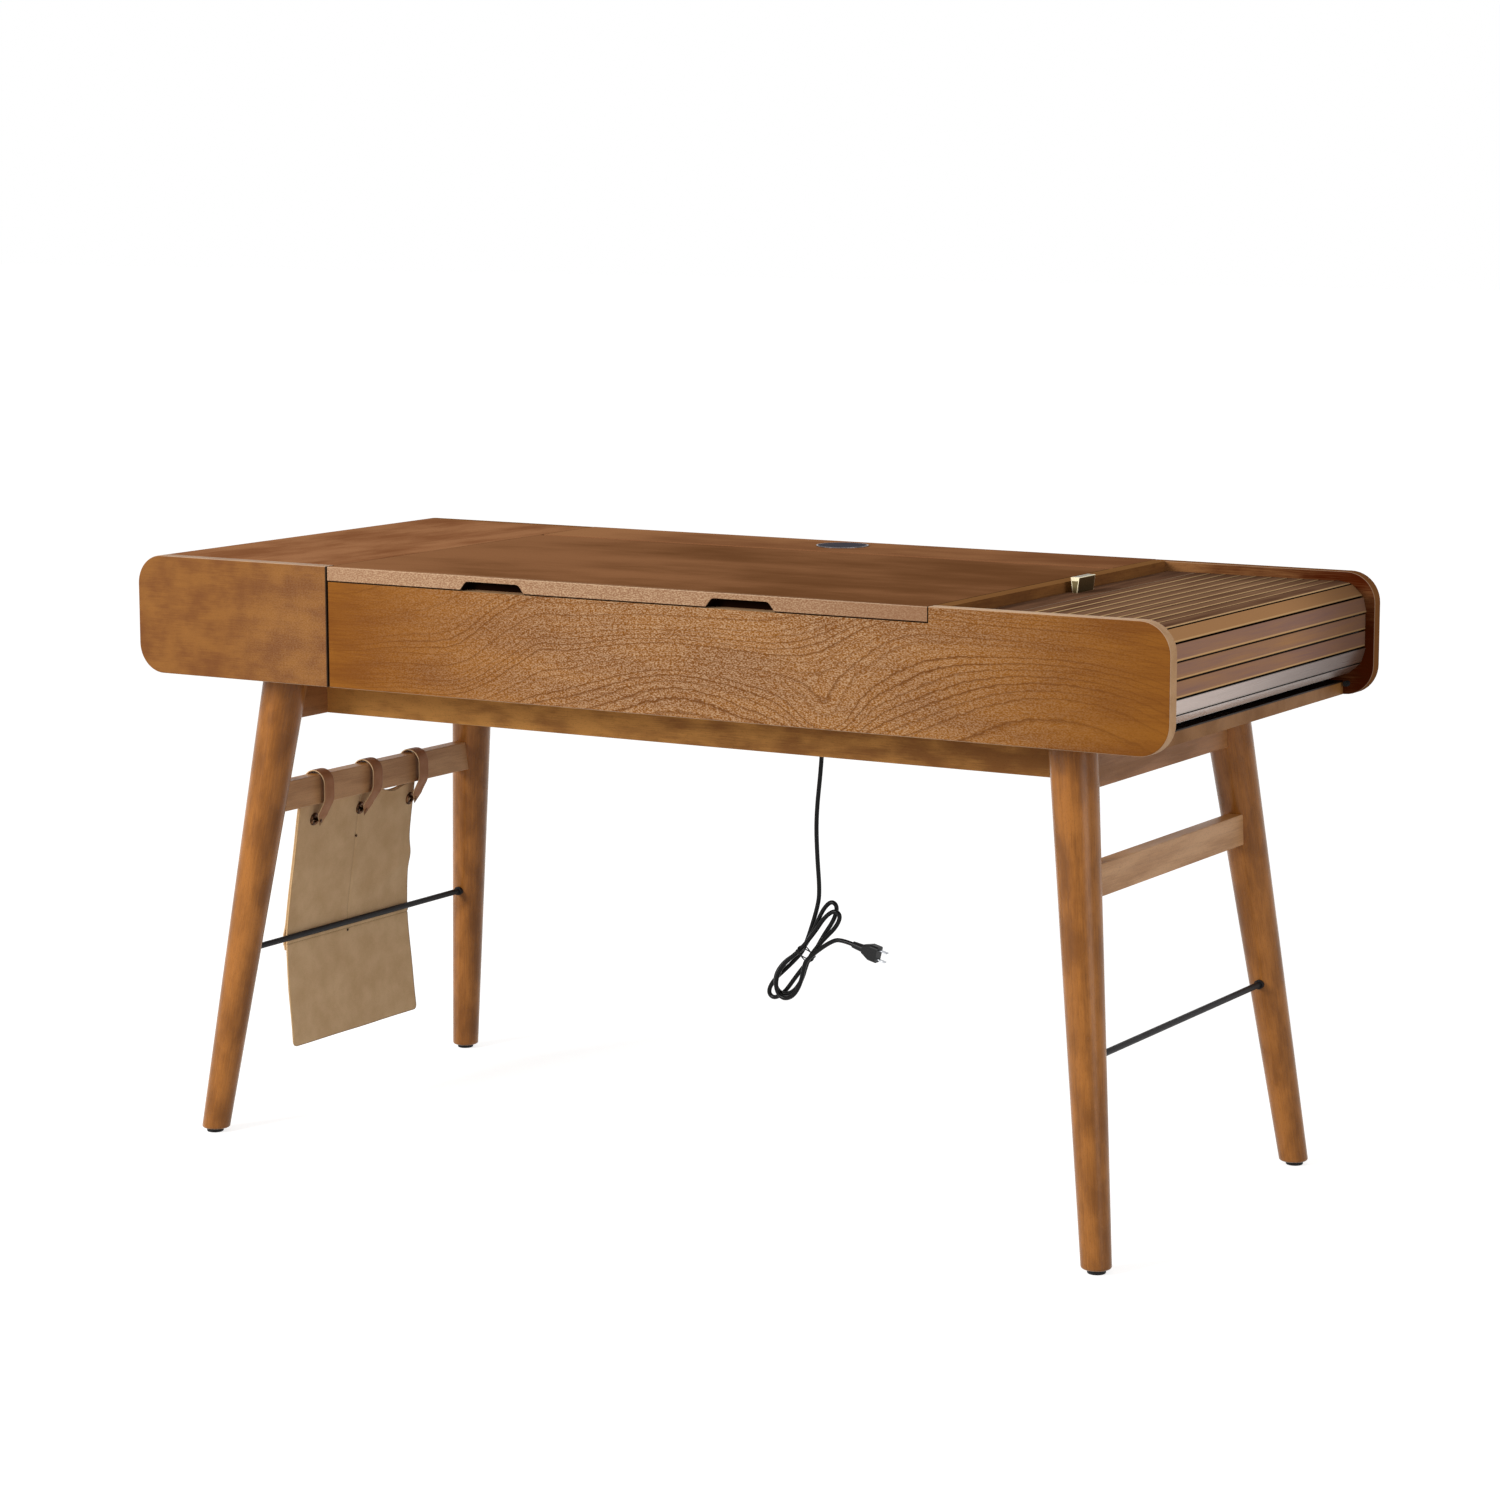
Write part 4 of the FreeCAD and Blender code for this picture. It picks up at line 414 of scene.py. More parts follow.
INNER_TONES = ("#B08A5C", "#97713F", "#7B5730", "#BC9A70")
# The left divider's almost black tones are painted shade, seen through the gap beside the drawer front.
DIVIDER_SHADE_TONES = ("#3A2414", "#2A180C", "#1C0F07", "#2A180C")
FLAT_X = (math.pi / 2, 0, 0)
FRONT_FIGURE = (
    # middle along the board and up it, reach along and up, and how far the rings are drawn down
    (-420, 690, 200, 160, 95),
    (-230, 650, 75, 90, 35),
    (-108, 690, 28, 45, -10),
    (90, 650, 130, 60, -40),
    (295, 620, 45, 45, 35),
    (390, 740, 110, 60, -38),
    (600, 680, 240, 120, -88),
)
# On the front board and the drawer front, the ends that meet at the drawer's gap carry painted shade, the
# arrises a painted highlight and the pores painted glints.
front_wood = stained_wood("walnut_stained_birch_front_veneer", FRONT_TONES, ring=8.0, drift=3.0, slant=0.0,
                          lines=0.9, figure=FRONT_FIGURE, mottle=(170, 40), broad=1, arris_highlight=0.6, painted_glint=0.46,
                          painted_glint_at=(150, -305, 680), painted_glint_reach=(600, 500, 500), painted_shade_ends=(1, 0),
                          rough=0.46, shine=0.08)
side_wood = stained_wood("walnut_stained_birch_drawer_veneer", SIDE_TONES, centre=(-600, -305, 640),
                         ring=46.0, drift=40.0, lines=0.05, mottle=(52, 34), broad=1, arris_highlight=0.6, painted_glint=0.08,
                         painted_glint_at=(170, 0, 20), painted_glint_reach=(190, 300, 160), painted_shade_ends=(0, 0.85),
                         rough=0.46, shine=0.08)
# The back board is darkest on its inner face beside the tambour, painted shade that deepens towards
# its right end; its arrises carry a painted highlight.
back_wood = stained_wood("walnut_stained_birch_back_veneer", SHADE_TONES, centre=(600, 305, 640), ring=30.0,
                         drift=30.0, lines=0.3, painted_light_lean=1.5, outer_at=-160, broad=1, arris_highlight=0.4, rough=0.60,
                         shine=0.0)
# The strip behind the lid is paler to the left, a painted gradient of light like the lid's.
top_wood = stained_wood("walnut_stained_birch_top_veneer", TOP_TONES, turn=FLAT_X, centre=(0, 0, 760),
                        ring=60.0, drift=40.0, lines=0.06, mottle=(320, 130), painted_light_lean=0.35, broad=2,
                        rough=0.6, shine=0.0)
shell_wood = stained_wood("walnut_stained_birch_shell_veneer", SHELL_TONES, turn=ALONG_Y,
                          centre=(-735, 0, 680), ring=52.0, drift=36.0, lines=0.1, mottle=(150, 60),
                          rough=0.6, shine=0.0)
# The right divider's face beside the tambour is made paler as painted light, and its top arris carries a
# painted highlight.
divider_wood = stained_wood("walnut_stained_birch_divider_veneer", BAY_LIT_TONES, turn=ALONG_Y,
                            centre=(440, 0, 690), ring=34.0, drift=18.0, lines=0.2, broad=0, arris_highlight=0.5,
                            rough=0.6, shine=0.0)
# Painted shade: the board's upper face is darkened where the tambour runs back over it.
UNDER_PAINTED_SHADE = (((2, 621.5, 623.0), (0, 440, 470)),)
under_wood = stained_wood("walnut_stained_birch_bottom_board", UNDER_TONES, turn=FLAT_X, centre=(0, 0, 607),
                          ring=40.0, drift=26.0, lines=0.2, painted_shade_places=UNDER_PAINTED_SHADE, rough=0.45, shine=0.1)
inner_wood = stained_wood("lacquered_birch_ply", INNER_TONES, ring=22.0, drift=16.0, lines=0.3,
                          rough=0.5, shine=0.2)
seam_shade_wood = stained_wood("birch_divider_painted_shade", DIVIDER_SHADE_TONES, turn=ALONG_Y, ring=22.0, drift=16.0,
                         lines=0.2, rough=0.6, shine=0.05)
dress(front_wood, "front_board")
dress(back_wood, "back_board")
dress(top_wood, "rear_strip")
dress(shell_wood, "left_shell")
dress(divider_wood, "right_divider")
dress(under_wood, "bottom_board")
dress(seam_shade_wood, "left_divider")
dress(inner_wood, "cable_bay_panel")

# Drawer: its front is a board with a rounded end, screwed to a plain ply box on steel runners. The ply
# is pale under clear lacquer. The runners are rolled and zinc plated, which leaves a spangle of bright
# and dull patches.
ZINC_TONES = ("#C9CBCF", "#A5A8AE")
BRUSH_LENGTH = 25.0
dress(side_wood, "drawer_front")
dress(inner_wood, "drawer_side_left", "drawer_side_right", "drawer_back", "drawer_bottom")


def plated(name, tones, rough, brush_mm, patch_mm):
    """Metal finish: a bright and a dull tone in patches, with brush lines in its height and gloss."""
    bright, dull = tones
    material = bpy.data.materials.new(name)
    tree = empty_tree(material)
    place = add_node(tree, "TexCoord", {}, {}, "Object")
    lines = add_node(tree, "Mapping", {}, {
        "Vector": place, "Scale": (1 / (brush_mm * MM), 1 / (BRUSH_LENGTH * MM), 1 / (brush_mm * MM))})
    brush = add_node(tree, "TexNoise", {}, {"Vector": lines, "Scale": 1.0, "Detail": 2.0})
    patch = add_node(tree, "TexNoise", {}, {"Vector": place, "Scale": 1 / (patch_mm * MM), "Detail": 3.0})
    part = add_node(tree, "MapRange", SOFTLY, {"Value": patch, "From Min": 0.35, "From Max": 0.65})
    colour = add_node(tree, "Mix", COLOURS,
                      {"Factor_Float": part, "A_Color": linear(bright), "B_Color": linear(dull)}, 2)
    gloss = add_node(tree, "MapRange", {}, {
        "Value": brush, "From Min": 0.3, "From Max": 0.7, "To Min": rough - 0.07, "To Max": rough + 0.1})
    skin = add_node(tree, "Bump", {}, {"Strength": 0.15, "Distance": 0.05 * MM, "Height": brush})
    metal = add_node(tree, "BsdfPrincipled", {}, {
        "Base Color": colour, "Metallic": 1.0, "Roughness": gloss, "Normal": skin})
    add_node(tree, "OutputMaterial", {}, {"Surface": metal})
    return material


zinc = plated("zinc_plated_steel", ZINC_TONES, rough=0.32, brush_mm=0.4, patch_mm=9.0)
dress(zinc, "runner_rails", "runner_slides")

# Lid: a veneered board with two finger cut-outs under its front edge, on steel pins in brass bushes.
# Its broad faces are stained evenly under a painted gradient of light, paler to the left. Its front edge
# carries painted glints and a painted arris highlight, and the cut-outs and end faces painted shade,
# almost black. Turned brass has fine bright rings.
BRASS_TONES = ("#C9A45C", "#A88442")
LID_PAINTED_SHADE = (
    # painted shade inside the finger cut-outs, and a painted shadow line along the foot of the front edge
    ((1, -304.4, -302.0), (1, -285.0, -287.0), (2, 741.1, 741.5), (2, 754.0, 753.2)),
    ((2, 743.0, 742.0), (1, -303.0, -304.0)),
)
lid_wood = stained_wood("walnut_stained_birch_lid_veneer", LID_TONES, turn=FLAT_X, centre=(0, 0, 760),
                        ring=60.0, drift=40.0, lines=0.06, mottle=(320, 130), painted_light_lean=0.35, broad=2, arris_highlight=0.5,
                        painted_glint=0.44, painted_glint_at=(-80, -10, 305), painted_glint_reach=(700, 80, 14),
                        painted_shade_ends=(0.8, 0.8), painted_shade_places=LID_PAINTED_SHADE, rough=0.6, shine=0.0)
turned_brass = plated("turned_brass", BRASS_TONES, rough=0.3, brush_mm=0.3, patch_mm=6.0)
dress(lid_wood, "lid")
dress(zinc, "lid_pivot_pins")
dress(turned_brass, "lid_pivot_bushes")

# Tambour: narrow birch slats with bevelled sides, glued to a cotton cloth and run in grooves of the
# boards, over the top and round the end. The top is satin and the lowest slats are glossy. Each slat
# takes the stain to its own depth, the corner slat's set pale as painted light. The arrises are paler,
# partly worn wood and partly painted highlight, the joints and the slats' back ends carry painted
# shade, and the end and low rows carry a painted sheen and a painted reflection in their tones.
LEAD_RIGHT, SLAT_TOP, SLAT_END, SLAT_FOOT = 493.5, 748.0, 723.0, 632.0
SLAT_CORNER, SLAT_PITCH, SLAT_HALF = 36.0, 21.0, 9.7
SLAT_THICK, SLAT_TAPER, SLAT_CHAMFER, SLAT_REACH = 9.0, 2.5, 0.8, 286.5
TOP_SLATS, END_SLATS, LOW_SLATS, SLAT_COUNT = 9, 10, 14, 18
CLOTH_THICK, CLOTH_THREAD = 0.5, 1.4
CLOTH_STEPS, CLOTH_COLUMNS = 8, 9
BACKWARDS = np.array([0.0, 1.0, 0.0])
MERGE_WITHIN = 1e-7
END_CLOTH_RUN = 160.0
# Depth of stain of each slat; the pale eleventh, the corner slat that starts the end row, is painted light
# where light falls on the bend.
SLAT_STAIN_AND_LIGHT = (1.0, 0.8, 0.9, 0.6, 0.7, 0.5, 0.6, 0.5, 0.7, 0.9, -0.5, 0.9, 0.6, 0.8, 0.5, 0.3, 0.4, 0.5)
SLAT_FIBRE, SLAT_BLOTCH = (1.8, 70), (14, 190)
WEAR_INSET = 1.1
# Tones of each row: pale, deep, arris and side. The arris tones are a painted highlight and the near-black
# side tones painted shade in the joints. The end row's golden pale and grey-pink deep tones are painted light
# and painted sheen, and the low row's pale grey-pink tones a painted reflection.
TOP_SLAT_TONES = ("#A07A5C", "#664634", "#DCB482", "#1C100A")
END_SLAT_LIGHT_TONES = ("#B8885C", "#977468", "#D8AC78", "#120A06")
LOW_SLAT_REFLECTION_TONES = ("#D2B4A4", "#B09484", "#8E7460", "#120A06")
# Painted shade toward the slats' back ends, beside the back board.
BACK_SHADE_TONE = "#43291A"
LEAD_TONES = ("#7E5A42", "#5C4030", "#3A2414", "#A27E58")
CLOTH_TONES = ("#5B5042", "#3C342A")
WAVE_RATE = 20                         # how fast a wave texture of scale 1 turns, in radians a metre


def slat_track(distance):
    """X, Z and turn of the slats' face: a top run, a quarter circle, the fall of the end and a second
    quarter circle, each followed for as much of the distance as it holds."""
    top_run = SLAT_END - SLAT_CORNER - LEAD_RIGHT
    fall = SLAT_TOP - SLAT_FOOT - 2 * SLAT_CORNER
    quarter = math.pi / 2
    first = np.clip((distance - top_run) / SLAT_CORNER, 0, quarter)
    dropped = np.clip(distance - top_run - SLAT_CORNER * quarter, 0, fall)
    second = np.clip((distance - top_run - SLAT_CORNER * quarter - fall) / SLAT_CORNER, 0, quarter)
    under = np.clip(distance - top_run - fall - 2 * SLAT_CORNER * quarter, 0, None)
    bent = SLAT_CORNER * (np.sin(first) + np.cos(second) - 1)
    x = LEAD_RIGHT + np.minimum(distance, top_run) + bent - under
    z = SLAT_TOP - SLAT_CORNER * (1 - np.cos(first) + np.sin(second)) - dropped
    return x, z, first + second


def grid_piece(name, points, material, layers=None, closed=True, round_columns=False):
    """Object of one or more grids: each point is joined to the next row and the next column of its grid.

    Points are (grids, rows, columns, 3) in millimetres. Layers are named arrays of one number or one
    vector for each point. A closed shape has its doubled points merged and its faces turned outwards.
    """
    index = np.arange(points[..., 0].size).reshape(points.shape[:-1])
    if round_columns:
        index = np.concatenate([index, index[..., :1]], axis=-1)
    corners = (index[:, :-1, :-1], index[:, 1:, :-1], index[:, 1:, 1:], index[:, :-1, 1:])
    faces = np.stack(corners, axis=-1).reshape(-1, 4)
    mesh = bpy.data.meshes.new(name)
    mesh.from_pydata((points.reshape(-1, 3) * MM).tolist(), [], faces.tolist())
    for layer, values in (layers or {}).items():
        kind, field = ("FLOAT_VECTOR", "vector") if values.ndim == points.ndim else ("FLOAT", "value")
        mesh.attributes.new(layer, kind, "POINT").data.foreach_set(field, values.astype(np.float32).ravel())
    if closed:
        work = bmesh.new()
        work.from_mesh(mesh)
        bmesh.ops.remove_doubles(work, verts=work.verts, dist=MERGE_WITHIN)
        bmesh.ops.recalc_face_normals(work, faces=work.faces)
        work.to_mesh(mesh)
        work.free()
    mesh.polygons.foreach_set("use_smooth", np.ones(len(mesh.polygons), dtype=bool))
    mesh.materials.append(material)
    piece = bpy.data.objects.new(name, mesh)
    scene.collection.objects.link(piece)
    return piece


def slat_points(first, last):
    """Slats first to last - 1: a bevelled section set square to the track at each slat's middle, carried
    along Y from end to end, with each end drawn to its middle point. Also each slat's depth of stain, and
    each point's place along the track and out of it."""
    x, z, turn = slat_track((np.arange(first, last) + 0.5) * SLAT_PITCH)
    foot = SLAT_HALF - SLAT_TAPER
    flat = SLAT_HALF - SLAT_CHAMFER
    section = np.array([(-foot, -SLAT_THICK), (foot, -SLAT_THICK), (SLAT_HALF, -SLAT_CHAMFER), (flat, 0.0),
                        (-flat, 0.0), (-SLAT_HALF, -SLAT_CHAMFER)])
    middle = np.broadcast_to(section.mean(axis=0), section.shape)
    rings = np.stack([middle, section, section, middle])
    ends = np.array([-SLAT_REACH, -SLAT_REACH, SLAT_REACH, SLAT_REACH])
    along, out = rings[..., 0], rings[..., 1]
    cos, sin = np.cos(turn)[:, None, None], np.sin(turn)[:, None, None]
    xs = x[:, None, None] + cos * along + sin * out
    zs = z[:, None, None] - sin * along + cos * out
    ys = np.broadcast_to(ends[None, :, None], xs.shape)
    depths = np.array(SLAT_STAIN_AND_LIGHT)[first:last, None, None]
    layers = {"slat_stain_and_light": depths, "slat_along": along, "slat_out": out}
    layers = {name: np.broadcast_to(values, xs.shape) for name, values in layers.items()}
    return np.stack([xs, ys, zs], axis=-1), layers


def slat_finish(name, tones, rough, shine, back_shade, worn=0.9, joint=0.0, coat=0.0):
    """Lacquer on slats: grain along Y, each slat stained to its own depth. The arris that leads down the
    track is paler over the worn width, partly worn wood and partly painted highlight, and the sides are
    almost black, painted shade so that the joints read as dark lines. Painted shade from the joint reaches
    a little way over the other arris. From the first shaded place along Y to the slats' back end the
    colour darkens by the second, painted shade toward the back board, and a clear coat thins out."""
    pale, deep, arris, side = tones
    back_shade_from, back_shade_by = back_shade
    material = bpy.data.materials.new(name)
    tree = empty_tree(material)
    place = add_node(tree, "TexCoord", {}, {}, "Object")
    endways = add_node(tree, "SeparateXYZ", {}, {"Vector": place}, 1)
    noise = {}
    for pattern, (wide, long), detail, crisp in (
            ("fibre", SLAT_FIBRE, 3.0, 0.6), ("blotch", SLAT_BLOTCH, 2.0, 0.5)):
        sized = add_node(tree, "Mapping", {}, {
            "Vector": place, "Scale": (1 / (wide * MM), 1 / (long * MM), 1 / (wide * MM))})
        noise[pattern] = add_node(tree, "TexNoise", {}, {
            "Vector": sized, "Scale": 1.0, "Detail": detail, "Roughness": crisp})
    stain, along, out = (add_node(tree, "Attribute", {"attribute_name": layer}, {}, "Fac")
                         for layer in ("slat_stain_and_light", "slat_along", "slat_out"))
    mixed = noise["blotch"]
    for term, share in ((noise["fibre"], 0.5), (stain, 0.45)):
        mixed = add_node(tree, "Math", {"operation": "MULTIPLY_ADD"},
                         {"Value": term, "Value_001": share, "Value_002": mixed})
    depth = add_node(tree, "MapRange", {}, {"Value": mixed, "From Min": 0.60, "From Max": 1.35})
    lip = SLAT_HALF - SLAT_CHAMFER
    # Paler arris band, partly worn wood and partly painted highlight.
    arris_highlight = add_node(tree, "MapRange", SOFTLY, {
        "Value": along, "From Min": lip - WEAR_INSET - worn, "From Max": lip - WEAR_INSET, "To Max": 0.85})
    layers = [(depth, deep), (arris_highlight, arris)]
    if joint:
        # Painted shade from the joint over the other arris.
        joint_edge_shade = add_node(tree, "MapRange", SOFTLY, {
            "Value": along, "From Min": joint - lip, "From Max": 0.4 * joint - lip, "To Max": 0.5})
        layers.append((joint_edge_shade, side))
    # Painted shade toward the slats' back end.
    back_shade_mask = add_node(tree, "MapRange", SOFTLY, {
        "Value": endways, "From Min": back_shade_from * MM, "From Max": SLAT_REACH * MM, "To Max": back_shade_by})
    # Painted shade on the slats' sides and backs, so the joints read dark.
    joint_shade = add_node(tree, "MapRange", SOFTLY, {"Value": out, "From Min": -0.15, "From Max": -0.75})
    colour = linear(pale)
    for factor, tone in (*layers, (back_shade_mask, BACK_SHADE_TONE), (joint_shade, side)):
        colour = add_node(tree, "Mix", COLOURS,
                          {"Factor_Float": factor, "A_Color": colour, "B_Color": linear(tone)}, 2)
    skin = add_node(tree, "Bump", {}, {"Strength": 0.15, "Distance": 0.3 * MM, "Height": noise["fibre"]})
    gloss = add_node(tree, "MapRange", {}, {
        "Value": noise["fibre"], "From Min": 0.3, "From Max": 0.7,
        "To Min": rough - 0.05, "To Max": rough + 0.06})
    if coat:
        coat = add_node(tree, "MapRange", SOFTLY, {
            "Value": endways, "From Min": back_shade_from * MM, "From Max": SLAT_REACH * MM,
            "To Min": coat, "To Max": 0.0})
    wood = add_node(tree, "BsdfPrincipled", {}, {
        "Base Color": colour, "Roughness": gloss, "Normal": skin, "IOR": 1.5, "Specular IOR Level": shine,
        "Coat Weight": coat, "Coat Roughness": 0.12, "Coat IOR": 1.5})
    add_node(tree, "OutputMaterial", {}, {"Surface": wood})
    return material


def woven_cotton(name, tones, thread_mm):
    """Plain weave: two sets of threads at right angles, each a row of rounded ridges one thread apart,
    which shows as dull, finely ribbed cloth."""
    warp, weft = tones
    material = bpy.data.materials.new(name)
    tree = empty_tree(material)
    place = add_node(tree, "TexCoord", {}, {}, "Object")
    ridges = {"Vector": place, "Scale": 2 * math.pi / (WAVE_RATE * thread_mm * MM)}
    warps, wefts = (add_node(tree, "TexWave", {"bands_direction": axis}, ridges, "Fac") for axis in "XY")
    weave = add_node(tree, "Math", {"operation": "MULTIPLY"}, {"Value": warps, "Value_001": wefts})
    colour = add_node(tree, "Mix", COLOURS,
                      {"Factor_Float": weave, "A_Color": linear(weft), "B_Color": linear(warp)}, 2)
    skin = add_node(tree, "Bump", {}, {"Strength": 0.5, "Distance": 0.2 * MM, "Height": weave})
    cloth = add_node(tree, "BsdfPrincipled", {}, {
        "Base Color": colour, "Roughness": 0.95, "Normal": skin, "Specular IOR Level": 0.2,
        "Sheen Weight": 0.2})
    add_node(tree, "OutputMaterial", {}, {"Surface": cloth})
    return material


def cloth_points(first, last):
    """Backing cloth: a sheet that follows the slats' backs, half its own thickness behind them."""
    steps = np.linspace(first * SLAT_PITCH, last * SLAT_PITCH, CLOTH_STEPS * (last - first) + 1)
    x, z, turn = slat_track(steps)
    back = SLAT_THICK + CLOTH_THICK / 2
    ys = np.linspace(-SLAT_REACH, SLAT_REACH, CLOTH_COLUMNS)
    rows = np.stack([x - back * np.sin(turn), np.zeros_like(x), z - back * np.cos(turn)], axis=-1)
    return (rows[:, None, :] + ys[None, :, None] * BACKWARDS)[None]


cotton = woven_cotton("woven_cotton_backing", CLOTH_TONES, CLOTH_THREAD)
top_slat_wood = slat_finish("satin_stained_birch_top_slat", TOP_SLAT_TONES, rough=0.55, shine=0.0,
                            back_shade=(170, 0.5), worn=2.0, joint=2.4)
end_slat_wood = slat_finish("stained_birch_end_slat_painted_sheen", END_SLAT_LIGHT_TONES, rough=0.50, shine=0.0,
                            back_shade=(40, 0.6), worn=1.2)
low_slat_wood = slat_finish("gloss_stained_birch_low_slat_painted_reflection", LOW_SLAT_REFLECTION_TONES, rough=0.30, shine=0.15,
                            back_shade=(-320, 0.9), coat=1.0)
squashed = []
for row, part, first, last, slat_wood in (("top", "top", 0, TOP_SLATS, top_slat_wood),
                                          ("bend", "end", TOP_SLATS, END_SLATS, top_slat_wood),
                                          ("end", "end", END_SLATS, LOW_SLATS, end_slat_wood),
                                          ("low", "end", LOW_SLATS, SLAT_COUNT, low_slat_wood)):
    points, layers = slat_points(first, last)
    slats = grid_piece(f"tambour_{row}_row", points, slat_wood, layers, round_columns=True)
    slats.data.polygons.foreach_set("use_smooth", np.zeros(len(slats.data.polygons), dtype=bool))
    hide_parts(f"tambour_{part}_slats")
    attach(slats, "desk")
    if row == "top":
        squashed.append(slats)
END_ROWS = ["tambour_bend_row", "tambour_end_row", "tambour_low_row"]
for part, first, last, cloth_run, rows in (
        ("top", 0, TOP_SLATS, TOP_SLATS * SLAT_PITCH, ["tambour_top_row"]),
        ("end", TOP_SLATS, SLAT_COUNT, END_CLOTH_RUN, END_ROWS)):
    backing = grid_piece(f"tambour_{part}_backing", cloth_points(first, last), cotton, closed=False)
    thickness = backing.modifiers.new("thickness", "SOLIDIFY")
    thickness.thickness = CLOTH_THICK * MM
    thickness.offset = 0.0
    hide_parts(f"tambour_{part}_cloth")
    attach(backing, "desk")
    if part == "top":
        squashed.append(backing)
for piece in squashed:
    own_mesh(piece)
# The lead rail's arrises carry a painted highlight.
lead_wood = stained_wood("satin_stained_birch_lead_rail", LEAD_TONES, turn=ALONG_Y, centre=(470, 0, 748),
                         ring=30.0, drift=12.0, lines=0.15, mottle=(190, 14), broad=2, arris_highlight=0.6, rough=0.6,
                         shine=0.0)
dress(lead_wood, "tambour_lead_rail")
dress(inner_wood, "tambour_floor", "tambour_inner_end")

# Pull: a small wedge of cast brass, screwed to the lead rail from below. The brass has aged to a dark
# olive with brush marks down its faces, and handling keeps its edges bright.
PULL_MIDDLE, PULL_BACK, PULL_LOW, PULL_HIGH = 465.3, 44.0, 748.0, 767.0
PULL_HALF_LOW, PULL_HALF_HIGH, PULL_WEAR, PULL_CROWN = 3.2, 5.7, 0.9, 4.5
PULL_TONES = ("#F0E6C4", "#857650", "#5A5038")
PULL_BRUSH = (0.9, 0.9, 14)


def worn_brass():
    """Aged brass: dark on its faces and bright where two faces meet. A point is within the wear of the sides
    where its distance from the middle comes near the half width at its height, and so for ends and top;
    it is worn where two of the three hold, and on a band at the front end's top."""
    bright, olive, dark = PULL_TONES
    material = bpy.data.materials.new("aged_cast_brass")
    tree = empty_tree(material)
    place = add_node(tree, "TexCoord", {}, {}, "Object")
    axes = add_node(tree, "SeparateXYZ", {}, {"Vector": place}).node.outputs
    half_width = add_node(tree, "MapRange", {}, {
        "Value": axes["Z"], "From Min": PULL_LOW * MM, "From Max": PULL_HIGH * MM,
        "To Min": (PULL_HALF_LOW - PULL_WEAR) * MM, "To Max": (PULL_HALF_HIGH - PULL_WEAR) * MM})
    off = {}
    for axis, middle in (("X", PULL_MIDDLE), ("Y", PULL_BACK / 2)):
        beside = add_node(tree, "Math", {"operation": "SUBTRACT"},
                          {"Value": axes[axis], "Value_001": middle * MM})
        off[axis] = add_node(tree, "Math", {"operation": "ABSOLUTE"}, {"Value": beside})
    meeting = 0.0
    for reached, limit in ((off["X"], half_width), (off["Y"], (PULL_BACK / 2 - PULL_WEAR) * MM),
                           (axes["Z"], (PULL_HIGH - PULL_WEAR) * MM)):
        near = add_node(tree, "Math", {"operation": "GREATER_THAN"}, {"Value": reached, "Value_001": limit})
        meeting = add_node(tree, "Math", {"operation": "ADD"}, {"Value": near, "Value_001": meeting})
    worn = add_node(tree, "MapRange", {}, {"Value": meeting, "From Min": 1.0, "From Max": 2.0})
    at_front = add_node(tree, "Math", {"operation": "LESS_THAN"},
                        {"Value": axes["Y"], "Value_001": PULL_WEAR * MM})
    crown = add_node(tree, "Math", {"operation": "GREATER_THAN"},
                     {"Value": axes["Z"], "Value_001": (PULL_HIGH - PULL_CROWN) * MM})
    crown = add_node(tree, "Math", {"operation": "MULTIPLY"}, {"Value": crown, "Value_001": at_front})
    worn = add_node(tree, "Math", {"operation": "MAXIMUM"}, {"Value": worn, "Value_001": crown})
    streak = add_node(tree, "Mapping", {}, {
        "Vector": place, "Scale": tuple(1 / (size * MM) for size in PULL_BRUSH)})
    brush = add_node(tree, "TexNoise", {}, {"Vector": streak, "Scale": 1.0, "Detail": 2.0})
    colour = linear(olive)
    for factor, tone in ((brush, dark), (worn, bright)):
        colour = add_node(tree, "Mix", COLOURS,
                          {"Factor_Float": factor, "A_Color": colour, "B_Color": linear(tone)}, 2)
    gloss = add_node(tree, "MapRange", {}, {"Value": brush, "To Min": 0.28, "To Max": 0.45})
    brass = add_node(tree, "BsdfPrincipled", {}, {"Base Color": colour, "Metallic": 1.0, "Roughness": gloss})
    add_node(tree, "OutputMaterial", {}, {"Surface": brass})
    return material


dress(worn_brass(), "tambour_pull")
dress(zinc, "tambour_pull_screws")

# Power point: a charcoal acrylic cap in a satin aluminium rim, let into the strip behind the lid, over a
# moulded black body. Satin aluminium has a soft grey shine, and the other two are close to matt.
RIM_TONES, ACRYLIC_TONE, PLASTIC_TONE = ("#97918F", "#6A6566"), "#454349", "#0C0C0D"
satin_rim = plated("satin_aluminium", RIM_TONES, rough=0.3, brush_mm=0.3, patch_mm=8.0)
acrylic = moulded("polished_charcoal_acrylic", ACRYLIC_TONE, rough=0.50, grit_mm=2.5, depth_mm=0.01,
                  shine=0.0)
black_plastic = moulded("moulded_black_plastic", PLASTIC_TONE, rough=0.45, grit_mm=1.0, depth_mm=0.05,
                        shine=0.25)
dress(satin_rim, "power_ring")
dress(acrylic, "power_cap")
dress(black_plastic, "power_body", "cord_bush", "plug")

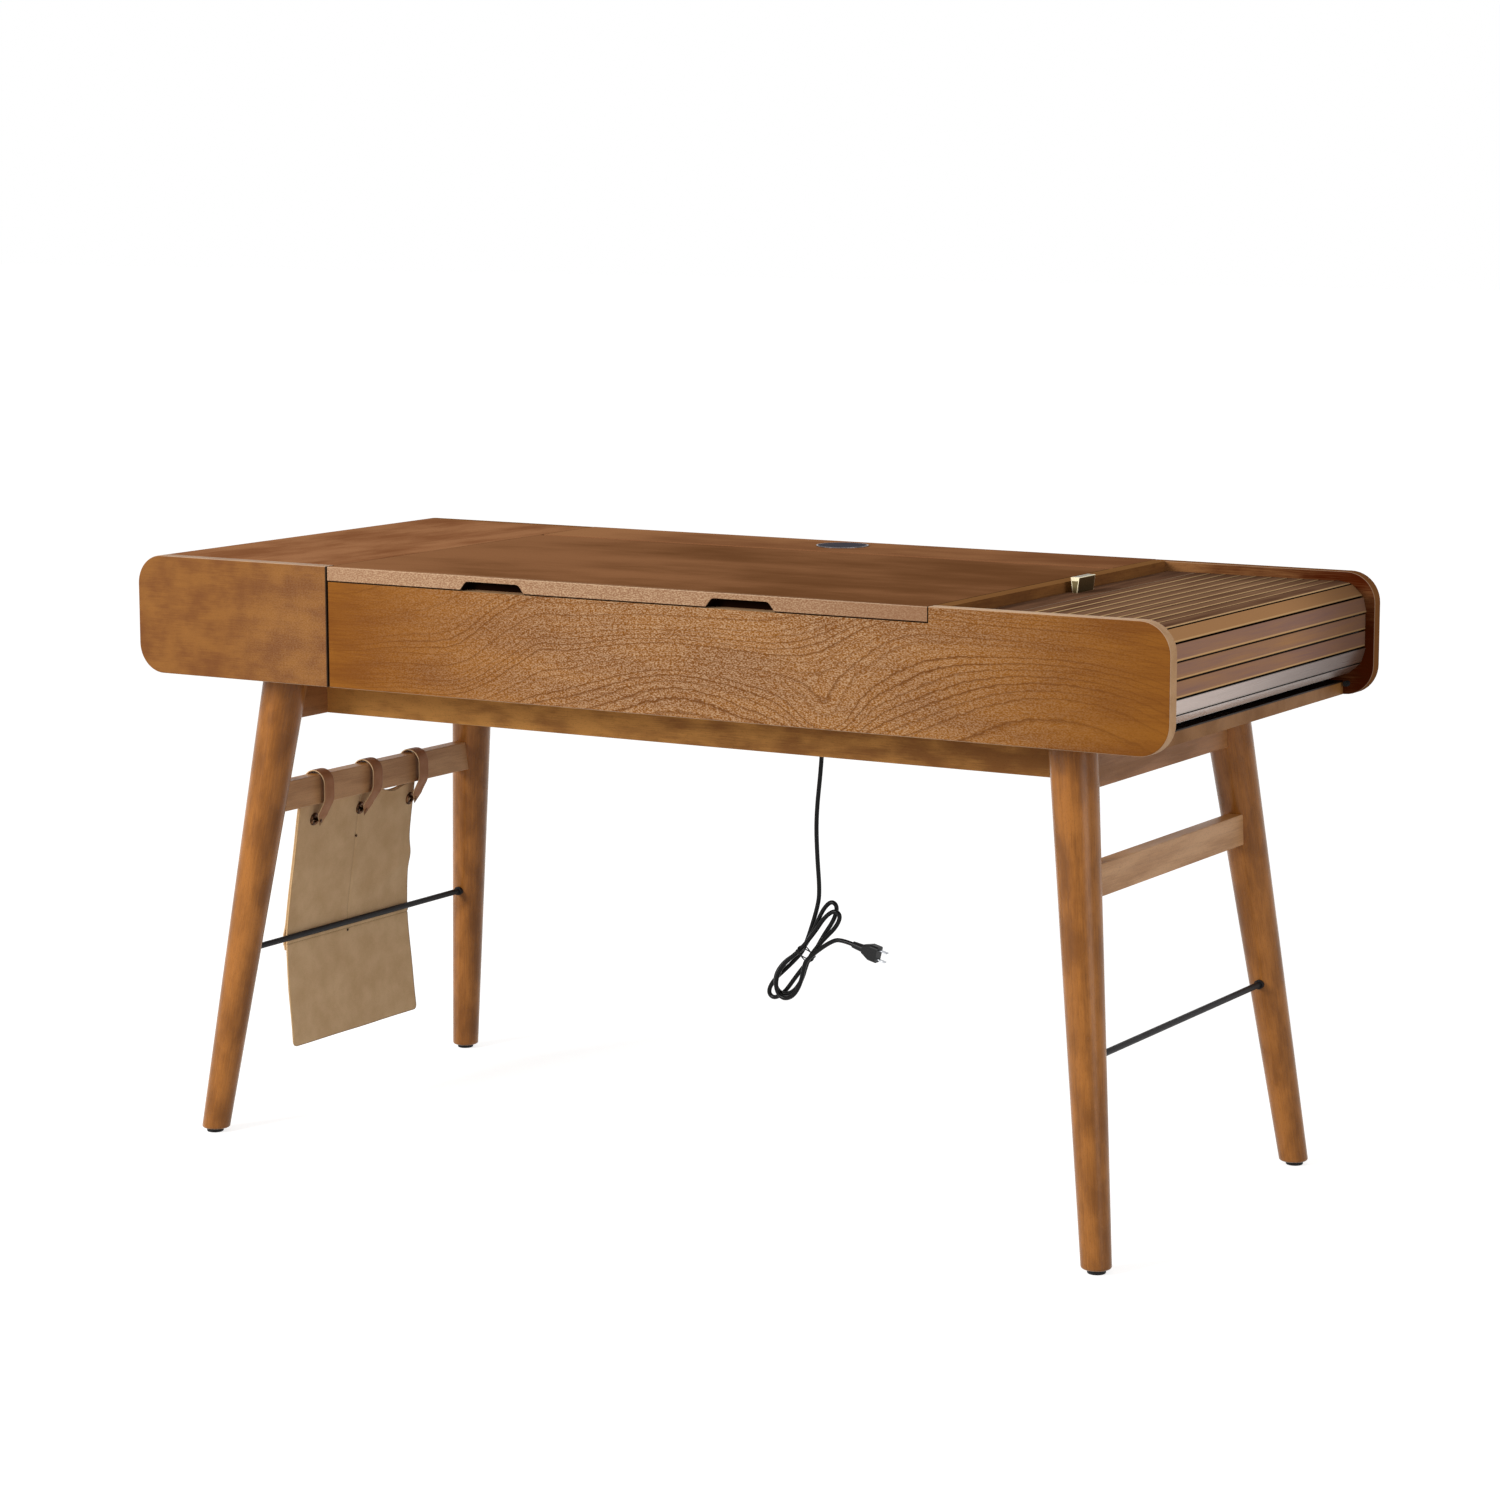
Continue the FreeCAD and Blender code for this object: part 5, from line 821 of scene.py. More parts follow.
# Cord: 1.3 m of round black PVC lead, from the strain relief under the case down to a hank held by a
# paper-covered wire tie. Its points are given, and the hank's turns come from one loop drawn in
# at a waist. PVC is smooth with a soft shine, and the tie is dull.
CORD_THICK = 6.0
CORD_EXIT = (0.0, 200.0, 576.0)
DROP_POINTS = (CORD_EXIT, (0, 200, 536), (-3.5, 200.8, 474), (-11.5, 200.3, 404), (-9, 199.4, 350),
               (-5.5, 199.8, 308), (-7.5, 200, 284))
STUB_POINTS = ((26, 179.5, 244.5), (42, 179.3, 246), (58, 179, 242))
BAY_POINTS = ((0, 235, 716), (0, 235, 688), (0, 200, 652), (0, 200, 624))
HANK_MIDDLE = np.array([-22.0, 200.0, 219.0])
HANK_TILT = math.radians(52)
HANK_WAIST, HANK_STEP = 8.0, 6.8
HANK_TURNS, POINTS_A_TURN = 2.5, 18
FIRST_LOWER, FIRST_UPPER = 0.25, 0.75                    # turns at which the first loops end
LOWER_REACH, LATER_LESS, UPPER_REACH, UPPER_LESS = 89.0, 18.0, 85.0, 3.0
LOWER_FAN, UPPER_FAN = (6.0, 7.4), (11.0, 14.0)          # sideways at the first loop, less for each turn
NARROW_LOBE, WIDE_LOBE = (30.0, 5.0), (36.0, 2.0)        # how far a lobe swells, and its power
HANK_AXIS = np.array([math.cos(HANK_TILT), 0, math.sin(HANK_TILT)])
HANK_BESIDE = np.array([-math.sin(HANK_TILT), 0, math.cos(HANK_TILT)])
TIE_THICK, TIE_OVER, TIE_DEEP, TIE_SKEW = 1.7, 11.8, 12.6, 3.0
TIE_STEPS, TIE_SIDES = 73, 8
PVC_TONE, TIE_TONE = "#0A0A0B", "#1B1A1A"


def hank_points():
    """Turns of the hank. With a = 2 pi times the turn: along = -reach (sin a + sin^3 a) / 2 and
    across = cos a (waist + lobe |sin a|^power), with a step towards the front for each turn. The first
    lower loop is long and narrow, the later ones shorter and wider, and the upper ends fan out."""
    turn = np.arange(0, HANK_TURNS + 0.5 / POINTS_A_TURN, 1 / POINTS_A_TURN)
    a = 2 * np.pi * turn
    lower = np.sin(a) > 0
    later = np.clip(np.floor(turn), 0, 1)
    wide = lower & (later > 0)
    from_lower, from_upper = turn - FIRST_LOWER, turn - FIRST_UPPER
    reach = np.where(lower, LOWER_REACH - LATER_LESS * later, UPPER_REACH - UPPER_LESS * from_upper)
    sideways = np.where(lower, LOWER_FAN[0] - LOWER_FAN[1] * from_lower,
                        UPPER_FAN[0] - UPPER_FAN[1] * from_upper)
    lobe = np.where(wide, WIDE_LOBE[0], NARROW_LOBE[0])
    power = np.where(wide, WIDE_LOBE[1], NARROW_LOBE[1])
    along = -reach * (np.sin(a) + np.sin(a) ** 3) / 2
    over = np.cos(a) * (HANK_WAIST + lobe * np.abs(np.sin(a)) ** power) + sideways * np.sin(a) ** 2
    step = HANK_STEP * turn
    return (HANK_MIDDLE + along[:, None] * HANK_AXIS + over[:, None] * HANK_BESIDE
            - step[:, None] * BACKWARDS)


def tie_points():
    """Two thin wraps round the waist of the hank: a round section carried round a squarish oval,
    |over / a|^3 + |deep / b|^3 = 1, with each wrap skewed along the hank the opposite way."""
    angle = np.linspace(0, 2 * np.pi, TIE_STEPS)
    squarish = (np.abs(np.cos(angle)) ** 3 + np.abs(np.sin(angle)) ** 3) ** (-1 / 3)
    over, deep = TIE_OVER * squarish * np.cos(angle), TIE_DEEP * squarish * np.sin(angle)
    skew = np.array([[TIE_SKEW], [-TIE_SKEW]]) * np.cos(angle)
    middle = HANK_MIDDLE - HANK_STEP * HANK_TURNS / 2 * BACKWARDS
    path = (middle + over[None, :, None] * HANK_BESIDE + deep[None, :, None] * BACKWARDS
            + skew[..., None] * HANK_AXIS)
    outward = np.cos(angle)[:, None] * HANK_BESIDE + np.sin(angle)[:, None] * BACKWARDS
    section = np.linspace(0, 2 * np.pi, TIE_SIDES, endpoint=False)
    around = np.cos(section)[None, :, None] * outward[:, None] + np.sin(section)[None, :, None] * HANK_AXIS
    return path[:, :, None] + TIE_THICK / 2 * around[None]


def lead(name, points, material):
    """Round lead: one open NURBS spline of order 3 through to its end points, with a round bevel."""
    curve = bpy.data.curves.new(name, "CURVE")
    curve.dimensions = "3D"
    curve.bevel_depth = CORD_THICK / 2 * MM
    curve.bevel_resolution = 5
    curve.use_fill_caps = True
    spline = curve.splines.new("NURBS")
    spline.points.add(len(points) - 1)
    spline.points.foreach_set("co", np.column_stack([np.array(points) * MM, np.ones(len(points))]).ravel())
    spline.order_u = 3
    spline.use_endpoint_u = True
    spline.resolution_u = 6
    curve.materials.append(material)
    piece = bpy.data.objects.new(name, curve)
    scene.collection.objects.link(piece)
    return piece


pvc = moulded("smooth_black_pvc", PVC_TONE, rough=0.28, grit_mm=1.8, depth_mm=0.03, shine=0.14)
tie_wire = moulded("black_paper_wire_tie", TIE_TONE, rough=0.7, grit_mm=0.8, depth_mm=0.1, shine=0.2)
tie = grid_piece("cord_wrap", tie_points(), tie_wire, round_columns=True)
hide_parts("cord_tie")
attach(tie, "desk")
dress(zinc, "plug_blades")
mains_cord = lead("mains_cord", np.concatenate([DROP_POINTS, hank_points(), STUB_POINTS]), pvc)
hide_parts("cord_drop", "cord_hank", "cord_stub")
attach(mains_cord, "desk")
bay_lead = lead("bay_lead", BAY_POINTS, pvc)
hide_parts("cord_inner")
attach(bay_lead, "desk")

# Pouch: a panel of khaki suede hung from three leather straps over the left stretcher, lying against
# the outside of the rod. A second layer is sewn to its back as a pocket, with a seam down the middle.
# Brushed suede is matt and mottled, with a fine nap. Its cut edges carry painted light: a pale painted
# highlight at the front and painted shade elsewhere.
POUCH_TOP, POUCH_FOOT, ROD_HEIGHT = 418.2, 92.0, 240.0
HANG_AT = (412.0, 240.0, 92.0)
HANG_X = (-592.7, -618.75, -607.2)      # inner face near the top, past the rod and at the foot
HANG_SOFT = 16.0
TOP_SAG, SAG_AT, SAG_REACH = 7.0, 52.0, 20.0
EDGE_HEIGHTS = (POUCH_FOOT, ROD_HEIGHT, POUCH_TOP)
EDGES_FRONT = (-160.0, -157.0, -157.0)
EDGES_BACK = (118.0, 114.0, 100.0)
POUCH_ROUND, SUEDE_THICK, LAYER_GAP = 7.0, 2.0, 0.4
STRAP_YS = np.array([-126.0, -22.0, 85.0])
POCKET_FOOT, POCKET_BULGE, POCKET_POWER = 222.0, 12.5, 0.8
SEAM_AT, SEAM_FOOT, STITCH_AT, STITCH_STEP = -24.0, 232.0, 230.0, 3.6
# Forms of the slack suede: how far each stands out, and its place and reach, in millimetres.
OVER_ROD, UNDER_ROD, UNDER_RUN = 12.0, 14.0, 60.0
BOW_OUT, BOW_REACH = 3.0, 30.0
CURL_OUT, CURL_AT, CURL_REACH = 2.5, 112.0, 22.0
CREASE_IN, CREASE_FROM, CREASE_AT, CREASE_RISE, CREASE_REACH = 3.5, -10.0, 262.0, 0.45, 16.0
CREASE_GROWS, CREASE_FOOT, CREASE_FADE = 70.0, 250.0, 14.0
SEAM_OUT, SEAM_REACH, SEAM_CLEAR, SEAM_FADE = 1.0, 2.2, 14.0, 10.0
RIPPLE_OUT, RIPPLE_YS, RIPPLE_ZS = 0.8, (31.0, 53.0), (47.0, 29.0)
WELT_OUT, WELT_UP, WELT_REACH = 1.0, 4.0, 2.2
STITCH_IN, STITCH_REACH = 0.7, 1.4
CORNER_OUT, CORNER_AT, CORNER_REACH = 3.0, (-157.0, 238.0), (14.0, 12.0)
# Rows and columns of the grid over each layer.
PANEL_ROWS, PANEL_COLUMNS, POCKET_ROWS, POCKET_COLUMNS = 110, 80, 70, 120
STITCH_ROWS, SEAM_COLUMNS = (-9, 4, 22), (0.47, 0.54, 26)      # from, to and count of extra grid lines
# Tones: pale and deep nap, a dark tone for the stitches and for painted shade on the cut edges and in the
# seam's crease, and a pale painted highlight for the front cut edge.
SUEDE_TONES = ("#E3C196", "#CCA87D", "#6B4D2E", "#DDB27C")
MOTTLE_SIZE, NAP_SIZE = 34, 1.6


def bell(offset, reach):
    """A bell-shaped hump of height 1: exp(-(offset / reach)^2)."""
    return np.exp(-(offset / reach) ** 2)


def ramp(value, start, length):
    """0 up to the start, then an even rise to 1 over the length."""
    return np.clip((value - start) / length, 0, 1)


def hang(z):
    """X of the panel's inner face: two straight runs that bend softly where they pass the rod,
    x = a + b fall + c sqrt(fall^2 + soft^2), with a, b and c set by the three given places."""
    falls = np.array(HANG_AT) - ROD_HEIGHT
    terms = np.column_stack([np.ones(3), falls, np.hypot(falls, HANG_SOFT)])
    a, b, c = np.linalg.solve(terms, HANG_X)
    return a + b * (z - ROD_HEIGHT) + c * np.hypot(z - ROD_HEIGHT, HANG_SOFT)


def slack(y, z):
    """How far the suede stands out from its hang: bowed between the straps at its top edge, curled at
    its back edge, creased from the rod up to that edge, drawn in along the seam and slightly rippled,
    all fading to nothing at the rod. A low welt stands forward just above the stitching."""
    above = ramp(z, ROD_HEIGHT + OVER_ROD, POUCH_TOP - ROD_HEIGHT)
    below = ramp(-z, UNDER_ROD - ROD_HEIGHT, UNDER_RUN)
    middles = (STRAP_YS[1:] + STRAP_YS[:-1]) / 2
    bow = sum(bell(y - middle, BOW_REACH) for middle in middles) * BOW_OUT * above ** 2
    curl = CURL_OUT * bell(y - CURL_AT, CURL_REACH) * above * (1 - above) * 4
    crease_z = CREASE_AT + CREASE_RISE * (y - CREASE_FROM)
    crease = CREASE_IN * ramp(y, CREASE_FROM, CREASE_GROWS) * bell(z - crease_z, CREASE_REACH)
    crease = crease * ramp(z, CREASE_FOOT, CREASE_FADE)
    seam = SEAM_OUT * bell(y - SEAM_AT, SEAM_REACH) * ramp(z, SEAM_FOOT + SEAM_CLEAR, SEAM_FADE)
    waves = np.sin(y / RIPPLE_YS[0] + z / RIPPLE_ZS[0]) * np.cos(y / RIPPLE_YS[1] - z / RIPPLE_ZS[1])
    ripple = (above + below) * RIPPLE_OUT * (1 + waves)
    above_row = z - STITCH_AT
    welt = WELT_OUT * bell(above_row - WELT_UP, WELT_REACH) - STITCH_IN * bell(above_row, STITCH_REACH)
    return bow + curl - crease + seam + ripple - welt


def suede_points(down, across, foot, rounded):
    """Grid over one layer of suede: rows go down from the top edge, columns from its front edge to its back
    edge. The top edge sags between the second strap and the third. Near the foot the row ends draw in
    along a quarter circle, which rounds the lower corners."""
    top_y = EDGES_FRONT[2] + (EDGES_BACK[2] - EDGES_FRONT[2]) * across[None, :]
    top = POUCH_TOP - TOP_SAG * bell(top_y - SAG_AT, SAG_REACH)
    z = top + (foot - top) * down[:, None]
    near = np.clip(POUCH_ROUND - (z - foot), 0, POUCH_ROUND) if rounded else np.zeros_like(z)
    drawn_in = POUCH_ROUND - np.sqrt(POUCH_ROUND ** 2 - near ** 2)
    front = np.interp(z, EDGE_HEIGHTS, EDGES_FRONT) + drawn_in
    back = np.interp(z, EDGE_HEIGHTS, EDGES_BACK) - drawn_in
    y = front + (back - front) * across[None, :]
    layers = {"front_mm": y - front, "edge_mm": np.minimum(back - y, np.minimum(top - z, z - foot))}
    return y, z, layers


def close_at_ends(count):
    """Shares from 0 to 1 that lie closer near both ends: (1 - cos a) / 2 over a half turn."""
    return (1 - np.cos(np.linspace(0, np.pi, count))) / 2


def brushed_suede():
    """Brushed suede: mottled nap and fine nap, a soft sheen, cut edges with a painted highlight at the front
    and painted shade elsewhere, painted shade in a crease 1 mm wide at the seam, and a row of stitches
    2.4 mm long under the rod."""
    pale, deep, cut, front_highlight_tone = SUEDE_TONES
    material = bpy.data.materials.new("brushed_khaki_suede")
    tree = empty_tree(material)
    place = add_node(tree, "TexCoord", {}, {}, "Object")
    axes = add_node(tree, "SeparateXYZ", {}, {"Vector": place}).node.outputs
    cloud = add_node(tree, "TexNoise", {}, {
        "Vector": place, "Scale": 1 / (MOTTLE_SIZE * MM), "Detail": 3.0, "Roughness": 0.55})
    nap = add_node(tree, "TexNoise", {}, {
        "Vector": place, "Scale": 1 / (NAP_SIZE * MM), "Detail": 3.0, "Roughness": 0.7})
    mixed = add_node(tree, "Math", {"operation": "MULTIPLY_ADD"},
                     {"Value": nap, "Value_001": 0.6, "Value_002": cloud})
    depth = add_node(tree, "MapRange", SOFTLY, {"Value": mixed, "From Min": 0.40, "From Max": 1.20})
    off = {}
    for axis, middle in (("Y", SEAM_AT), ("Z", STITCH_AT)):
        beside = add_node(tree, "Math", {"operation": "SUBTRACT"},
                          {"Value": axes[axis], "Value_001": middle * MM})
        off[axis] = add_node(tree, "Math", {"operation": "ABSOLUTE"}, {"Value": beside})
    # Painted shade in a crease at the seam.
    seam_crease_shade = add_node(tree, "MapRange", SOFTLY, {
        "Value": off["Y"], "From Min": 1.1 * MM, "From Max": 0.3 * MM, "To Max": 0.22})
    over_rod = add_node(tree, "Math", {"operation": "GREATER_THAN"},
                        {"Value": axes["Z"], "Value_001": SEAM_FOOT * MM})
    seam_crease_shade = add_node(tree, "Math", {"operation": "MULTIPLY"}, {"Value": seam_crease_shade, "Value_001": over_rod})
    row = add_node(tree, "MapRange", SOFTLY,
                   {"Value": off["Z"], "From Min": 1.0 * MM, "From Max": 0.3 * MM})
    step = add_node(tree, "Math", {"operation": "WRAP"},
                    {"Value": axes["Y"], "Value_001": STITCH_STEP * MM, "Value_002": 0.0})
    thread = add_node(tree, "MapRange", {}, {
        "Value": step, "From Min": 2.3 * MM, "From Max": 2.5 * MM, "To Min": 0.25, "To Max": 0.55})
    stitch = add_node(tree, "Math", {"operation": "MULTIPLY"}, {"Value": row, "Value_001": thread})
    edge, front = (add_node(tree, "Attribute", {"attribute_name": layer}, {}, "Fac")
                   for layer in ("edge_mm", "front_mm"))
    # Painted shade on the cut edges at the back, top and foot, and a painted highlight on the front cut edge.
    cut_edge = add_node(tree, "MapRange", SOFTLY,
                        {"Value": edge, "From Min": 1.6, "From Max": 0.2, "To Max": 0.7})
    front_edge_highlight = add_node(tree, "MapRange", SOFTLY,
                        {"Value": front, "From Min": 1.4, "From Max": 0.3, "To Max": 0.4})
    colour = linear(pale)
    for factor, tone in ((depth, deep), (seam_crease_shade, cut), (stitch, cut), (cut_edge, cut), (front_edge_highlight, front_highlight_tone)):
        colour = add_node(tree, "Mix", COLOURS,
                          {"Factor_Float": factor, "A_Color": colour, "B_Color": linear(tone)}, 2)
    skin = add_node(tree, "Bump", {}, {"Strength": 0.3, "Distance": 0.35 * MM, "Height": nap})
    hide = add_node(tree, "BsdfPrincipled", {}, {
        "Base Color": colour, "Roughness": 0.95, "Normal": skin, "Specular IOR Level": 0.1,
        "Sheen Weight": 0.12, "Sheen Roughness": 0.5})
    add_node(tree, "OutputMaterial", {}, {"Surface": hide})
    return material


def hung_sheet(name, points, layers, cad_name):
    """Suede layer given its thickness away from the desk, put on the pouch's body in place of its CAD part.
    """
    layers = {layer: values[None] for layer, values in layers.items()}
    piece = grid_piece(name, points[None], suede, layers, closed=False)
    thickness = piece.modifiers.new("thickness", "SOLIDIFY")
    thickness.thickness = SUEDE_THICK * MM
    thickness.offset = -1.0
    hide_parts(cad_name)
    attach(piece, "pouch")


suede = brushed_suede()
stitch_rows = (POUCH_TOP - STITCH_AT + np.linspace(*STITCH_ROWS)) / (POUCH_TOP - POUCH_FOOT)
down = np.unique(np.concatenate([close_at_ends(PANEL_ROWS), stitch_rows]))
across = np.unique(np.concatenate([np.linspace(0, 1, PANEL_COLUMNS), np.linspace(*SEAM_COLUMNS)]))
y, z, layers = suede_points(down, across, POUCH_FOOT, True)
x = hang(z) - slack(y, z)
hung_sheet("pouch_panel", np.stack([x, y, z], axis=-1), layers, "pouch_main_panel")
down, across = close_at_ends(POCKET_ROWS), np.linspace(0, 1, POCKET_COLUMNS)
y, z, layers = suede_points(down, across, POCKET_FOOT, False)
between = sum(ramp(y, here, beyond - here) for here, beyond in zip(STRAP_YS, STRAP_YS[1:]))
fullness = ramp(z, POCKET_FOOT, POUCH_TOP - POCKET_FOOT) ** POCKET_POWER
bulge = POCKET_BULGE * np.sin(np.pi * between) ** 2 * fullness
corner = CORNER_OUT * bell(z - CORNER_AT[1], CORNER_REACH[1]) * bell(y - CORNER_AT[0], CORNER_REACH[0])
x = hang(z) - slack(y, z) - SUEDE_THICK - LAYER_GAP - bulge - corner
hung_sheet("pouch_pocket_layer", np.stack([x, y, z], axis=-1), layers, "pouch_pocket")

# Straps: strips of vegetable-tanned leather bent over the stretcher, tapered to a riveted tip at each
# end. Smooth tanned leather is satin, with a fine pebble, and its cut edges show the pale core.
STRAP_WIDE, STRAP_TIP, STRAP_ROUND, STRAP_THICK = 21.5, 20.0, 4.0, 2.0
STRAP_MIDDLES, STRAP_LEANS = np.array([-121.0, -12.5, 92.0]), np.array([0.5, -9.5, 1.2])
STRAP_CORNERS = ((-601.2, 394.1), (-599.0, 407.9), (-606.0, 419), (-606.0, 463.95), (-571.75, 463.95),
                 (-571.75, 424), (-583.0, 405), (-589.0, 387.5))
STRAP_RADII = (0, 3.8, 3.8, 17.0, 17.0, 24, 24, 0)
STRAP_TAPER_FROM, STRAP_TAPER_TO, STRAP_LEAN_TOP = 424.0, 396.0, 440.0
TIP_SHARE = 0.7                       # how wide a strap still is at its rounded end
BEND_STEPS, STRAP_SIDES = 14, 24
OVER_POWER, THROUGH_POWER = 0.25, 0.5
CUT_FROM, CUT_RUN = 0.94, 0.05
LEATHER_TONES = ("#B07B54", "#915F3E", "#DDBD92")
LEATHER_CLOUD, PEBBLE_SIZE = 14, 1.2


def rounded_path(corners, radii, steps):
    """Points along a path of straight runs whose corners are arcs: each arc starts radius * tan(turn / 2)
    before its corner and is sampled at even angles."""
    corners = np.array(corners, float)
    pieces = [corners[:1]]
    for before, corner, after, radius in zip(corners, corners[1:], corners[2:], radii[1:]):
        back, ahead = before - corner, after - corner
        back, ahead = back / np.linalg.norm(back), ahead / np.linalg.norm(ahead)
        half_turn = (np.pi - np.arccos(np.clip(back @ ahead, -1, 1))) / 2
        middle = corner + (back + ahead) / np.linalg.norm(back + ahead) * radius / np.cos(half_turn)
        start = corner + back * radius * np.tan(half_turn) - middle
        side = -back * radius
        angle = np.linspace(0, 2 * half_turn, steps)[:, None]
        pieces.append(middle + start * np.cos(angle) + side * np.sin(angle))
    return np.concatenate([*pieces, corners[-1:]])


def leather():
    """Tanned leather: soft mottling, a fine pebble in its height, and paler cut edges."""
    pale, deep, cut = LEATHER_TONES
    material = bpy.data.materials.new("vegetable_tanned_leather")
    tree = empty_tree(material)
    place = add_node(tree, "TexCoord", {}, {}, "Object")
    cloud = add_node(tree, "TexNoise", {},
                     {"Vector": place, "Scale": 1 / (LEATHER_CLOUD * MM), "Detail": 3.0})
    pebble = add_node(tree, "TexVoronoi", {}, {"Vector": place, "Scale": 1 / (PEBBLE_SIZE * MM)})
    edge = add_node(tree, "Attribute", {"attribute_name": "cut_edge"}, {}, "Fac")
    colour = linear(pale)
    for factor, tone in ((cloud, deep), (edge, cut)):
        colour = add_node(tree, "Mix", COLOURS,
                          {"Factor_Float": factor, "A_Color": colour, "B_Color": linear(tone)}, 2)
    skin = add_node(tree, "Bump", {}, {"Strength": 0.25, "Distance": 0.1 * MM, "Height": pebble})
    gloss = add_node(tree, "MapRange", {}, {
        "Value": cloud, "From Min": 0.3, "From Max": 0.7, "To Min": 0.45, "To Max": 0.6})
    hide = add_node(tree, "BsdfPrincipled", {}, {
        "Base Color": colour, "Roughness": gloss, "Normal": skin, "Specular IOR Level": 0.2})
    add_node(tree, "OutputMaterial", {}, {"Surface": hide})
    return material


def strap_points():
    """One strap per place along Y: a flat section with rounded edges carried along the bent path. Its width
    tapers below the stretcher to rounded corners at each end, and its ends lean a little to one side. Also
    1 at the cut edges and 0 between them."""
    path = rounded_path(STRAP_CORNERS, STRAP_RADII, BEND_STEPS)
    tangent = np.gradient(path, axis=0)
    tangent /= np.linalg.norm(tangent, axis=1, keepdims=True)
    outward = np.stack([-tangent[:, 1], tangent[:, 0]], axis=-1)
    run = np.concatenate([[0], np.cumsum(np.linalg.norm(np.diff(path, axis=0), axis=1))])
    ending = np.minimum(run, run[-1] - run)
    open_end = ending > 0
    from_end = 1 - np.clip(ending / STRAP_ROUND, 0, 1)
    closing = TIP_SHARE + (1 - TIP_SHARE) * np.sqrt(np.clip(1 - from_end ** 2, 0, 1))
    taper = np.interp(path[:, 1], (STRAP_TAPER_TO, STRAP_TAPER_FROM), (STRAP_TIP, STRAP_WIDE))
    wide = taper * closing * open_end
    angle = np.linspace(0, 2 * np.pi, STRAP_SIDES, endpoint=False)
    over = np.sign(np.cos(angle)) * np.abs(np.cos(angle)) ** OVER_POWER
    through = np.sign(np.sin(angle)) * np.abs(np.sin(angle)) ** THROUGH_POWER
    thick = STRAP_THICK / 2 * open_end
    xs = path[:, :1] + outward[:, :1] * through * thick[:, None]
    zs = path[:, 1:] + outward[:, 1:] * through * thick[:, None]
    fallen = np.clip((STRAP_LEAN_TOP - path[:, 1]) / (STRAP_LEAN_TOP - path[-1, 1]), 0, 1)
    middles = STRAP_MIDDLES[:, None] + STRAP_LEANS[:, None] * fallen ** 2 * (3 - 2 * fallen)
    ys = wide[:, None] / 2 * over + middles[..., None]
    points = np.stack(np.broadcast_arrays(xs[None], ys, zs[None]), axis=-1)
    cut = np.broadcast_to(ramp(np.abs(over), CUT_FROM, CUT_RUN), ys.shape)
    return points, cut


points, cut = strap_points()
straps = grid_piece("pouch_strap_set", points, leather(), {"cut_edge": cut}, round_columns=True)
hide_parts("pouch_straps")
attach(straps, "pouch")

# Eyelets and rivets: pressed rings of dark bronze round each riveted tip, and two small rivets at the
# ends of the middle seam. The pressing leaves them domed, and the bronze shows lighter and darker patches.
HANG_OUT = np.array([-0.988, 0.0, 0.155])
PRESSED_SIDES, DOME_STEPS, RING_STEPS = 24, 7, 13
DOME_SHARE, SHANK_GAP = 0.45, 0.2
STUD_FROM, STUD_LENGTH, STUD_HEAD, STUD_SHANK = (-585.4, 395.6), 17.4, 2.4, 1.8
EYELET_X, EYELET_HEIGHTS, EYELET_YS = -594.2, (396.6, 397.3, 394.0), (-122.8, -21.8, 91.8)
EYELET_INNER, EYELET_OUTER, EYELET_MIDDLE, EYELET_HALF = 3.6, 8.8, 1.9, 2.6
RIVET_HEIGHTS, RIVET_HEAD, RIVET_SHANK, RIVET_LENGTH, RIVET_GAP = (359.0, 227.5), 2.0, 1.0, 3.4, 0.2
BRONZE_TONES = ("#6B4A32", "#35241A")


